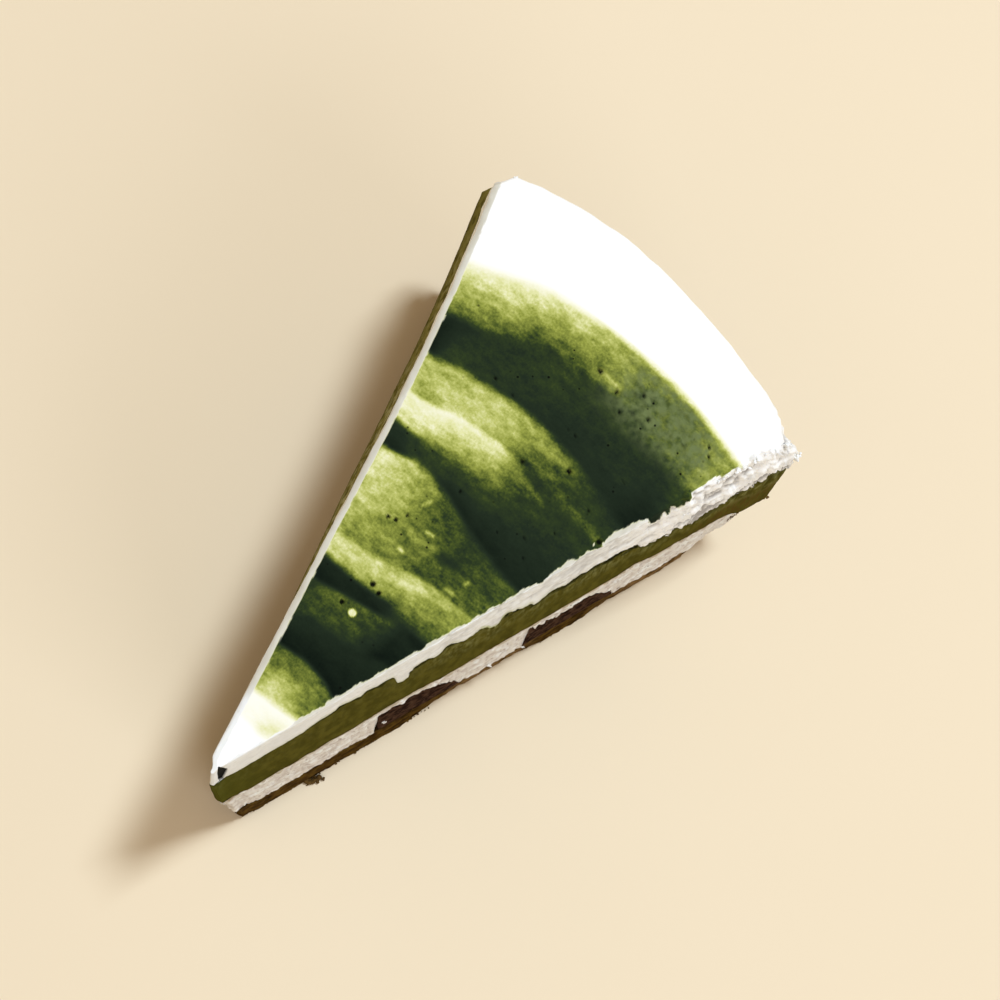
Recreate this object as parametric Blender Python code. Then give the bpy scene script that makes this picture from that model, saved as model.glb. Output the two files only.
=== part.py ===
"""One slice of a layered matcha cake, about a tenth of a 20 cm round.

From the bottom: a thin sponge, a cream layer with two rings of dark filling,
a smooth matcha layer, and a thick cream top. Both cuts lean out a little
towards the bottom, the rim is curved and the cream is ragged at its corners.

Metres, +Z up. The origin is on the underside, below the middle of the slice.
+X runs from the slice's point to its rim, and +Y to its left cut.
"""

import math
from dataclasses import dataclass

import bpy
import numpy as np
from mathutils import Vector, noise

# Whole slice
CAKE_AXIS_X = -0.060          # axis of the whole round cake, where the cuts meet
HEIGHT = 0.052
GAP = 0.0003                  # left between touching pieces

# Heights of the joints between the layers
BASE_TOP = 0.0088
LOWER_CREAM_TOP = 0.02175
MATCHA_TOP = 0.04165

# The blunt point: how far its end bulges, and the length over which the cuts
# turn into its two sides
POINT_BULGE = 0.00035
POINT_LENGTH = 0.0036

# Right cut: a straight line that leans out below the top
CUT_START_X = 0.00065
RIGHT_START_Y = -0.00046
RIGHT_SLOPE = -0.3037
RIGHT_LEAN = 0.088            # outwards per metre of depth

# Left cut: bends outwards near the rim and leans out more than the right one
LEFT_START_Y = 0.00066
LEFT_SLOPE = 0.285
LEFT_BEND_X = 0.050
LEFT_BEND_LENGTH = 0.040
LEFT_BEND = 0.0021
LEFT_LEAN = 0.15              # in the top cream
LEFT_LOW_LEAN = 0.0029        # further lean of the layers below it
LEFT_LEAN_LENGTH = 0.055      # the low lean grows from the point to here

# Right corner of the rim, where the matcha layer bulges out
CORNER_FLARE = 0.0008
CORNER_FLARE_X = (0.070, 0.078)

# Wave of the rim's radius along its length
RIM_CROWN = 0.0009
RIM_WAVE = 0.0005

# Where the cream dips over the matcha layer along the right cut, or rises:
# start and end from the cake's axis, and depth
CREAM_DIPS = (
    (0.0080, 0.0272, -0.0036),
    (0.0264, 0.0322, 0.0046),
    (0.0408, 0.0460, 0.0044),
    (0.0475, 0.0700, 0.0018),
    (0.0675, 0.1000, 0.0074),
)
DIP_SHOULDER = 0.0022         # length over which a dip reaches its depth
DIP_REACH = 0.0034            # how far it goes in from the cut

# Rings of dark filling: distances from the cake's axis at their two sides
FILLING_RINGS = {"filling_inner": (0.0272, 0.0416), "filling_outer": (0.0550, 0.0711)}
FILLING_HEIGHT = 0.0105
FILLING_SQUARENESS = 3.2
FILLING_SECTION_POINTS = 11
CUTTER_OVERSHOOT = 0.12       # of the slice's width, past each cut
CUTTER_DROP = 0.001

# Three-cornered pit in the cream at the point: x from the cake's axis and height
PIT_CORNERS = ((0.0004, 0.0532), (0.0014, 0.0470), (-0.0006, 0.0426))
PIT_FRONT_Y = -0.0040
PIT_BACK_Y = -0.0003

# Relief of the cut cream, sponge and matcha
CRAG_SIZE = 0.0045
FINE_CRAG_SIZE = 0.0019
FINE_CRAG_SHARE = 0.5
MATCHA_CRAG = 0.00015
CORNER_CRAG = 0.0009          # extra depth of the crags in the cream's corners
CORNER_CRAG_LENGTH = 0.012
CALM_POINT = (0.0, 0.022)     # the relief grows from nothing over this length
JOINT_WAVE = 0.00015
JOINT_WAVE_LENGTH = 0.020

# Cells of each layer's mesh
CELLS_ALONG = 38
SHARES_ACROSS = (0.0, 0.08, 0.20, 0.35, 0.50, 0.65, 0.80, 0.92, 1.0)
SHARP_ANGLE = math.radians(40.0)


@dataclass(frozen=True)
class Outline:
    """Plan of the slice at one height, measured from the cake's axis."""

    point_x: float
    point_y: float
    point_half_width: float
    right_radius: float
    left_radius: float
    flare: float


@dataclass(frozen=True)
class Layer:
    """One layer: its two heights, plans, relief and finish."""

    name: str
    bottom: float
    top: float
    bottom_plan: Outline
    top_plan: Outline
    levels: int
    crag: float
    colour: tuple
    roughness: float


BASE_LOW = Outline(0.0003, -0.0027, 0.0012, 0.0928, 0.0932, 0.0)
BASE_HIGH = Outline(0.0000, -0.0027, 0.0012, 0.0944, 0.0946, 0.0)
LOWER_LOW = Outline(-0.0003, -0.0025, 0.0012, 0.0950, 0.0953, 0.0)
LOWER_HIGH = Outline(-0.0008, -0.0016, 0.0010, 0.0962, 0.0964, 0.5)
MATCHA_LOW = Outline(-0.0019, -0.0013, 0.0009, 0.0986, 0.0978, 1.0)
MATCHA_HIGH = Outline(-0.0022, -0.0004, 0.0007, 0.0994, 0.0991, 1.0)
CREAM_HIGH = Outline(-0.0020, 0.0, 0.0005, 0.0970, 0.0973, 0.0)

LAYERS = (
    Layer("base_sponge", 0.0, BASE_TOP, BASE_LOW, BASE_HIGH, 2, 0.00045, (0.085, 0.065, 0.020), 0.9),
    Layer("lower_cream", BASE_TOP, LOWER_CREAM_TOP, LOWER_LOW, LOWER_HIGH, 3, 0.00035,
          (0.80, 0.78, 0.74), 0.6),
    Layer("matcha_layer", LOWER_CREAM_TOP, MATCHA_TOP, MATCHA_LOW, MATCHA_HIGH, 3, MATCHA_CRAG,
          (0.090, 0.080, 0.012), 0.55),
    Layer("top_cream", MATCHA_TOP, HEIGHT, MATCHA_HIGH, CREAM_HIGH, 3, 0.00035, (0.87, 0.86, 0.83), 0.5),
)
FILLING_COLOUR = (0.045, 0.016, 0.010)
FILLING_ROUGHNESS = 0.7


def ramp(value, start, end):
    """Smooth step from 0 at start to 1 at end."""
    share = np.clip((value - start) / (end - start), 0.0, 1.0)
    return share * share * (3.0 - 2.0 * share)


def mix(first, second, share):
    """Straight blend of two values."""
    return first + (second - first) * share


def hump(share):
    """Curve that is 0 at shares 0 and 1, and 1 half way."""
    return 4.0 * share * (1.0 - share)


def blend_plans(low, high, share):
    """Plan of a layer between its bottom and its top."""
    return Outline(
        mix(low.point_x, high.point_x, share),
        mix(low.point_y, high.point_y, share),
        mix(low.point_half_width, high.point_half_width, share),
        mix(low.right_radius, high.right_radius, share),
        mix(low.left_radius, high.left_radius, share),
        mix(low.flare, high.flare, share),
    )


def right_cut_y(x, z, plan):
    """Side position of the right cut at a distance along the slice and a height."""
    lean = RIGHT_LEAN * (HEIGHT - max(z, BASE_TOP))
    bulge = plan.flare * CORNER_FLARE * ramp(x, *CORNER_FLARE_X)
    line = RIGHT_START_Y + RIGHT_SLOPE * (x - CUT_START_X) - lean - bulge
    return mix(plan.point_y - plan.point_half_width, line, beyond_point(x, plan))


def left_cut_y(x, z, plan):
    """Side position of the left cut at a distance along the slice and a height."""
    bend = LEFT_BEND * (np.maximum(0.0, x - LEFT_BEND_X) / LEFT_BEND_LENGTH) ** 2
    lean = LEFT_LEAN * (HEIGHT - max(z, MATCHA_TOP))
    low_share = 1.0 - (min(z, MATCHA_TOP) / MATCHA_TOP) ** 2
    low_lean = LEFT_LOW_LEAN * low_share * np.clip(x / LEFT_LEAN_LENGTH, 0.0, 1.0)
    line = LEFT_START_Y + LEFT_SLOPE * (x - CUT_START_X) + bend + lean + low_lean
    return mix(plan.point_y + plan.point_half_width, line, beyond_point(x, plan))


def beyond_point(x, plan):
    """How far a cut has left the blunt point, from 0 to 1."""
    start = plan.point_x + POINT_BULGE
    return ramp(x, start, start + POINT_LENGTH)


def corner_of(cut, z, plan, radius):
    """Point where a cut meets the rim, found by repeated substitution."""
    x = radius
    for _ in range(8):
        x = math.sqrt(radius ** 2 - float(cut(x, z, plan)) ** 2)
    return np.array([x, float(cut(x, z, plan))])


def plan_points(plan, z, along, across):
    """Plan positions for arrays of shares along the slice and across it.

    The four edges are the two cuts, the blunt point and the rim. The inside
    follows from them as a Coons patch.
    """
    start_x = plan.point_x + POINT_BULGE
    right_end = corner_of(right_cut_y, z, plan, plan.right_radius)
    left_end = corner_of(left_cut_y, z, plan, plan.left_radius)

    def cut_edge(cut, end, share):
        x = mix(start_x, end[0], share)
        return np.stack([x, cut(x, z, plan)], axis=-1)

    right_start = cut_edge(right_cut_y, right_end, np.array(0.0))
    left_start = cut_edge(left_cut_y, left_end, np.array(0.0))
    tip = mix(right_start, left_start, across[..., None])
    tip[..., 0] -= POINT_BULGE * hump(across)

    right_angle = math.atan2(right_end[1], right_end[0])
    left_angle = math.atan2(left_end[1], left_end[0])
    angle = mix(right_angle, left_angle, across)
    radius = mix(plan.right_radius, plan.left_radius, across) + RIM_CROWN * hump(across)
    radius = radius - RIM_WAVE * np.sin(2.0 * math.pi * across)
    rim = np.stack([radius * np.cos(angle), radius * np.sin(angle)], axis=-1)

    right = cut_edge(right_cut_y, right_end, along)
    left = cut_edge(left_cut_y, left_end, along)
    s = along[..., None]
    t = across[..., None]
    ruled = mix(tip, rim, s) + mix(right, left, t)
    corners = mix(mix(right_start, right_end, s), mix(left_start, left_end, s), t)
    return ruled - corners


def joint_height(x, depth, height):
    """Height of a joint between layers, with the cream's dips where it has them."""
    if height in (0.0, HEIGHT):
        return np.full_like(x, height)
    wave = JOINT_WAVE * np.sin(x / JOINT_WAVE_LENGTH * 2.0 * math.pi)
    if height != MATCHA_TOP:
        return height + wave
    dip = np.zeros_like(x)
    for start, end, drop in CREAM_DIPS:
        shoulders = ramp(x, start, start + DIP_SHOULDER) * ramp(x, end, end - DIP_SHOULDER)
        dip = dip + drop * shoulders
    return height + wave - dip * np.exp(-depth / DIP_REACH)


def crag(x, y, z, amount):
    """Level shift of a point by the slice's relief."""
    point = Vector((x, y, z))
    shift = noise.noise_vector(point / CRAG_SIZE)
    shift = shift + FINE_CRAG_SHARE * noise.noise_vector(point / FINE_CRAG_SIZE)
    return amount * shift.x, amount * shift.y


def layer_grid(layer):
    """Points of a layer, indexed along, across and by level.

    Where a joint dips, its points also move out with the right cut's lean.
    """
    along_shares = np.linspace(0.0, 1.0, CELLS_ALONG + 1)
    along, across = np.meshgrid(along_shares, np.array(SHARES_ACROSS), indexing="ij")
    grid = np.zeros(along.shape + (layer.levels + 1, 3))
    for level in range(layer.levels + 1):
        share = level / layer.levels
        plan = blend_plans(layer.bottom_plan, layer.top_plan, share)
        nominal = mix(layer.bottom, layer.top, share)
        points = plan_points(plan, nominal, along, across)
        width = np.linalg.norm(points[:, -1] - points[:, 0], axis=-1)[:, None]
        depth = across * width
        low = joint_height(points[..., 0], depth, layer.bottom)
        high = joint_height(points[..., 0], depth, layer.top)
        if layer.bottom > 0.0:
            low = low + GAP / 2.0
        if layer.top < HEIGHT:
            high = high - GAP / 2.0
        height = mix(low, high, share)
        grid[..., level, 0] = points[..., 0]
        grid[..., level, 1] = points[..., 1] - RIGHT_LEAN * (nominal - height)
        grid[..., level, 2] = height
        push_crags(grid[..., level, :], layer, nominal)
    return grid


def push_crags(level_grid, layer, nominal):
    """Give one level its crags, deeper in the top cream's rim corners.

    The matcha layer's top and the cream's bottom share one plan, so they get
    the same relief.
    """
    shared = math.isclose(nominal, MATCHA_TOP)
    amount = MATCHA_CRAG if shared else layer.crag
    corners = (level_grid[-1, 0, :2].copy(), level_grid[-1, -1, :2].copy())
    for point in level_grid.reshape(-1, 3):
        extra = 0.0
        if layer.name == "top_cream" and not shared:
            distance = min(math.dist(point[:2], corner) for corner in corners)
            extra = CORNER_CRAG * float(ramp(distance, CORNER_CRAG_LENGTH, 0.0))
        growth = float(ramp(point[0], *CALM_POINT))
        shift_x, shift_y = crag(point[0], point[1], nominal, (amount + extra) * growth)
        point[0] += shift_x
        point[1] += shift_y


def layer_by_name(name):
    """The layer with this name."""
    return next(layer for layer in LAYERS if layer.name == name)


def surface_of(grid):
    """Vertices and outward triangles of the closed skin of a block of points."""
    rows, columns, levels = grid.shape[:3]
    index = {}
    vertices = []

    def vertex(i, j, k):
        key = (i, j, k)
        if key not in index:
            index[key] = len(vertices)
            x, y, z = grid[i, j, k]
            vertices.append((x + CAKE_AXIS_X, y, z))
        return index[key]

    triangles = []

    def quad(a, b, c, d):
        corners = [vertex(*a), vertex(*b), vertex(*c), vertex(*d)]
        triangles.append((corners[0], corners[1], corners[2]))
        triangles.append((corners[0], corners[2], corners[3]))

    top = levels - 1
    for i in range(rows - 1):
        for j in range(columns - 1):
            quad((i, j, top), (i + 1, j, top), (i + 1, j + 1, top), (i, j + 1, top))
            triangles.append((vertex(i, j, 0), vertex(i + 1, j + 1, 0), vertex(i + 1, j, 0)))
            triangles.append((vertex(i, j, 0), vertex(i, j + 1, 0), vertex(i + 1, j + 1, 0)))
    for k in range(top):
        for i in range(rows - 1):
            quad((i, 0, k), (i + 1, 0, k), (i + 1, 0, k + 1), (i, 0, k + 1))
            last = columns - 1
            quad((i + 1, last, k), (i, last, k), (i, last, k + 1), (i + 1, last, k + 1))
        for j in range(columns - 1):
            quad((0, j + 1, k), (0, j, k), (0, j, k + 1), (0, j + 1, k + 1))
            last = rows - 1
            quad((last, j, k), (last, j + 1, k), (last, j + 1, k + 1), (last, j, k + 1))
    return vertices, triangles


def make_material(name, colour, roughness):
    """Principled material of one piece."""
    material = bpy.data.materials.new(name)
    material.use_nodes = True
    shader = material.node_tree.nodes["Principled BSDF"]
    shader.inputs["Base Color"].default_value = (*colour, 1.0)
    shader.inputs["Roughness"].default_value = roughness
    shader.inputs["Metallic"].default_value = 0.0
    return material


def make_object(name, vertices, triangles, parent):
    """Object at the slice's origin, smooth but for its sharp edges."""
    mesh = bpy.data.meshes.new(name)
    mesh.from_pydata([tuple(vertex) for vertex in vertices], [], triangles)
    mesh.update()
    mesh.shade_smooth()
    mesh.set_sharp_from_angle(angle=SHARP_ANGLE)
    piece = bpy.data.objects.new(name, mesh)
    bpy.context.scene.collection.objects.link(piece)
    piece.parent = parent
    return piece


def build_layer(layer, parent):
    """One layer of the slice."""
    vertices, triangles = surface_of(layer_grid(layer))
    piece = make_object(layer.name, vertices, triangles, parent)
    piece.data.materials.append(make_material(layer.name, layer.colour, layer.roughness))
    return piece


def filling_skin(ring, clearance, overshoot, drop):
    """Closed skin of a ring of filling, or of the channel that it lies in.

    Args:
        ring: distances from the cake's axis at the ring's two sides.
        clearance: how far the skin stands off the filling.
        overshoot: share of the slice's width that it runs past each cut.
        drop: how far it goes below the filling's flat bottom.
    """
    lower = layer_by_name("lower_cream")
    inner, outer = ring
    middle = (inner + outer) / 2.0
    half = (outer - inner) / 2.0 + clearance
    bottom = BASE_TOP + GAP / 2.0 - drop
    height = FILLING_HEIGHT + clearance
    turns = np.linspace(0.0, math.pi, FILLING_SECTION_POINTS)
    power = 2.0 / FILLING_SQUARENESS
    section = [(middle + half, bottom)] if drop else []
    for turn in turns:
        side = math.copysign(abs(math.cos(turn)) ** power, math.cos(turn))
        rise = abs(math.sin(turn)) ** power
        section.append((middle + half * side, BASE_TOP + GAP / 2.0 + height * rise))
    if drop:
        section.append((middle - half, bottom))

    across = np.array(SHARES_ACROSS)
    across = mix(-overshoot, 1.0 + overshoot, across)
    vertices = []
    for share in across:
        for radius, z in section:
            level = np.clip((z - BASE_TOP) / (LOWER_CREAM_TOP - BASE_TOP), 0.0, 1.0)
            plan = blend_plans(lower.bottom_plan, lower.top_plan, level)
            along = np.array([radius / plan.right_radius])
            point = plan_points(plan, float(z), along, np.array([share]))[0]
            vertices.append((point[0] + CAKE_AXIS_X, point[1], z))

    count = len(section)
    triangles = []
    for slot in range(len(across) - 1):
        for step in range(count):
            after = (step + 1) % count
            a = slot * count + step
            b = slot * count + after
            c = (slot + 1) * count + after
            d = (slot + 1) * count + step
            triangles.append((a, c, b))
            triangles.append((a, d, c))
    last = (len(across) - 1) * count
    for step in range(1, count - 1):
        triangles.append((0, step, step + 1))
        triangles.append((last, last + step + 1, last + step))
    return vertices, triangles


def hide_cutter(cutter):
    """Keep a cutter out of renders and show it as wire."""
    cutter.hide_render = True
    cutter.display_type = "WIRE"


def cut_with(piece, cutter):
    """Take a cutter's shape out of a piece."""
    cut = piece.modifiers.new(cutter.name, "BOOLEAN")
    cut.operation = "DIFFERENCE"
    cut.solver = "EXACT"
    cut.object = cutter


def build_fillings(lower_cream, parent):
    """Both rings of filling, and their channels in the cream."""
    for name, ring in FILLING_RINGS.items():
        vertices, triangles = filling_skin(ring, 0.0, 0.0, 0.0)
        filling = make_object(name, vertices, triangles, parent)
        filling.data.materials.append(make_material(name, FILLING_COLOUR, FILLING_ROUGHNESS))
        vertices, triangles = filling_skin(ring, GAP, CUTTER_OVERSHOOT, CUTTER_DROP)
        channel = make_object(name + "_channel", vertices, triangles, parent)
        hide_cutter(channel)
        cut_with(lower_cream, channel)


def cut_pit(top_cream, parent):
    """Three-cornered pit in the cut cream at the slice's point."""
    vertices = []
    for y in (PIT_FRONT_Y, PIT_BACK_Y):
        vertices += [(x + CAKE_AXIS_X, y, z) for x, z in PIT_CORNERS]
    triangles = [(0, 2, 1), (3, 4, 5)]
    for step in range(3):
        after = (step + 1) % 3
        triangles.append((step, after, after + 3))
        triangles.append((step, after + 3, step + 3))
    pit = make_object("pit_cutter", vertices, triangles, parent)
    hide_cutter(pit)
    cut_with(top_cream, pit)


def main():
    """Clear the scene and build the slice."""
    for old in list(bpy.data.objects):
        bpy.data.objects.remove(old, do_unlink=True)
    parent = bpy.data.objects.new("cake_slice", None)
    bpy.context.scene.collection.objects.link(parent)
    pieces = {layer.name: build_layer(layer, parent) for layer in LAYERS}
    build_fillings(pieces["lower_cream"], parent)
    cut_pit(pieces["top_cream"], parent)


main()
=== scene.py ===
"""Looks of one slice of layered matcha cake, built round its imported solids.

Every layer is a dense closed skin on the same plan as its solid: the slice's two
cuts, its blunt point and its rim, lofted through the layer's heights. The relief of
cut cream, sponge and filling is in the mesh, and the marbled top is a density of
matcha worked out stroke by stroke and painted by the cream's finish.

Metres, +Z up. Plans are worked out from the axis of the whole round cake. Knots, the
marbling, the pits and the crumbs are in millimetres from there.
"""

import logging
import math
from collections.abc import Callable
from dataclasses import astuple, dataclass
from enum import Enum
from itertools import product

import bpy
import numpy as np
from mathutils import Matrix, Vector, noise


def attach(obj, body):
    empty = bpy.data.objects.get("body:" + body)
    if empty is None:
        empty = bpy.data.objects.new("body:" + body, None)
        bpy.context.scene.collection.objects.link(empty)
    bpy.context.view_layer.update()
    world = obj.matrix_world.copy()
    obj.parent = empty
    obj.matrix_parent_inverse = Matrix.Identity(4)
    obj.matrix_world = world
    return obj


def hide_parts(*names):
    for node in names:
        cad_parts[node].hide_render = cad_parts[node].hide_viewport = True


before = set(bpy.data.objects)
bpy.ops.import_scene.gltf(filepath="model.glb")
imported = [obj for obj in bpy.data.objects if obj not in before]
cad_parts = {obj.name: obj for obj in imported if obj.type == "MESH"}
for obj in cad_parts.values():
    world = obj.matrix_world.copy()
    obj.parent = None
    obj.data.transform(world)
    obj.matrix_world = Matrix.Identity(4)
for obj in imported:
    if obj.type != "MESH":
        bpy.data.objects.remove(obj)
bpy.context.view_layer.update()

LOG = logging.getLogger("matcha_cake")
BODY = "root"
MM = 0.001
Array = np.ndarray
Object = bpy.types.Object
Material = bpy.types.Material
Socket = bpy.types.NodeSocket
Span = tuple[float, float]
Knots = tuple[Span, ...]
Triple = tuple[float, float, float]
EVEN: Triple = (1.0, 1.0, 1.0)

# Whole slice, as in its solids
CAKE_AXIS_X = -0.060
HEIGHT = 0.052
BASE_TOP = 0.0088
LOWER_CREAM_TOP = 0.02175
MATCHA_TOP = 0.04165
SEAM = 0.00003                # left between two skins that touch
LEVEL_SIDE = -1               # mark of places on an upper or a lower side


def ramp(value: Array, start: float, end: float) -> Array:
    """Smooth step from 0 at the start to 1 at the end."""
    share = np.clip((value - start) / (end - start), 0.0, 1.0)
    return share * share * (3.0 - 2.0 * share)


def mix(first: Array, second: Array, share: Array) -> Array:
    """Blend of two values, the first at share 0 and the second at share 1."""
    return first + (second - first) * share


def hump(share: Array) -> Array:
    """Curve that is 0 at shares 0 and 1, and 1 half way."""
    return 4.0 * share * (1.0 - share)


def through(value: Array, knots: Knots) -> Array:
    """Smooth curve through knots, level beyond its ends.

    Args:
        value: where to read the curve.
        knots: pairs of a place and the curve's value there.

    Returns:
        The curve's value at each place.
    """
    table = np.array(sorted(knots), float)
    if len(table) == 1:
        return np.full(np.shape(value), table[0, 1])
    place, height = table[:, 0], table[:, 1]
    slope = np.diff(height) / np.diff(place)
    turn = np.concatenate([slope[:1], (slope[:-1] + slope[1:]) / 2.0, slope[-1:]])
    turn[1:-1][slope[:-1] * slope[1:] <= 0.0] = 0.0
    read = np.clip(value, place[0], place[-1])
    cell = np.clip(np.searchsorted(place, read) - 1, 0, len(place) - 2)
    width = place[cell + 1] - place[cell]
    share = (read - place[cell]) / width
    square = share * share
    rise = square * (3.0 - 2.0 * share)
    leave = share * (1.0 - share) ** 2
    arrive = square * (share - 1.0)
    bend = width * (leave * turn[cell] + arrive * turn[cell + 1])
    return mix(height[cell], height[cell + 1], rise) + bend


class Grain:
    """Repeatable smooth noise in space, the same on every run."""

    STRIDES = (73856093, 19349663, 83492791)
    STIR = 1274126177
    SHIFT = 15
    TOP = float(2 ** 32 - 1)

    @classmethod
    def cells(cls, cell: Array, seed: int) -> Array:
        """One value for each cell of a lattice.

        Args:
            cell: whole numbers of the cells, one row each.
            seed: picks one of many lattices.

        Returns:
            Values from -1 to 1.
        """
        code = np.full(len(cell), seed * cls.STIR % 2 ** 32, np.uint32)
        for axis, stride in enumerate(cls.STRIDES):
            code = code ^ (cell[:, axis].astype(np.uint32) * np.uint32(stride))
            code = (code ^ (code >> np.uint32(cls.SHIFT))) * np.uint32(cls.STIR)
        code = code ^ (code >> np.uint32(cls.SHIFT))
        return code / cls.TOP * 2.0 - 1.0

    @classmethod
    def smooth(cls, points: Array, size: float, seed: int) -> Array:
        """Noise with bumps of one size.

        Args:
            points: places, one row each.
            size: distance between the bumps.
            seed: picks one of many noises.

        Returns:
            Values from -1 to 1.
        """
        scaled = points / size
        cell = np.floor(scaled).astype(np.int64)
        share = scaled - cell
        share = share * share * (3.0 - 2.0 * share)
        total = np.zeros(len(points))
        for corner in product((0, 1), repeat=3):
            side = np.array(corner)
            weight = np.prod(np.where(side == 1, share, 1.0 - share), axis=1)
            total += weight * cls.cells(cell + side, seed)
        return total


@dataclass(frozen=True)
class Texture:
    """Noise of one kind, for relief in a mesh: plain, or in rounded lumps with creases."""

    size: float
    octaves: int
    seed: int
    lumpy: bool = False
    stretch: Triple = EVEN

    def read(self, points: Array) -> Array:
        """The noise, with each octave half the size and height of the one before.

        Args:
            points: places, one row each.

        Returns:
            Values from about -1 to 1.
        """
        stretched = points / np.array(self.stretch)
        total = np.zeros(len(points))
        for octave in range(self.octaves):
            value = Grain.smooth(stretched, self.size / 2.0 ** octave, self.seed + octave)
            if self.lumpy:
                value = 4.0 * np.abs(value) - 1.0
            total += value / 2.0 ** octave
        return total


@dataclass(frozen=True)
class Outline:
    """Plan of the slice at one height, measured from the cake's axis."""

    point_x: float
    point_y: float
    point_half_width: float
    right_radius: float
    left_radius: float
    flare: float = 0.0
    spread: float = 0.0
    right_tuck: float = 0.0
    left_tuck: float = 0.0
    left_trim: float = 0.0
    left_shift: float = 0.0
    right_shift: float = 0.0
    right_trim: float = 0.0
    point_length: float = 0.0036      # over which the cuts leave the point

    def towards(self, other: "Outline", share: float) -> "Outline":
        """Plan between this one, at share 0, and another, at share 1."""
        pairs = zip(astuple(self), astuple(other))
        return Outline(*(mix(mine, theirs, share) for mine, theirs in pairs))


Cut = Callable[[Array, float, Outline], Array]
Stations = tuple[tuple[float, Outline], ...]


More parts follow.
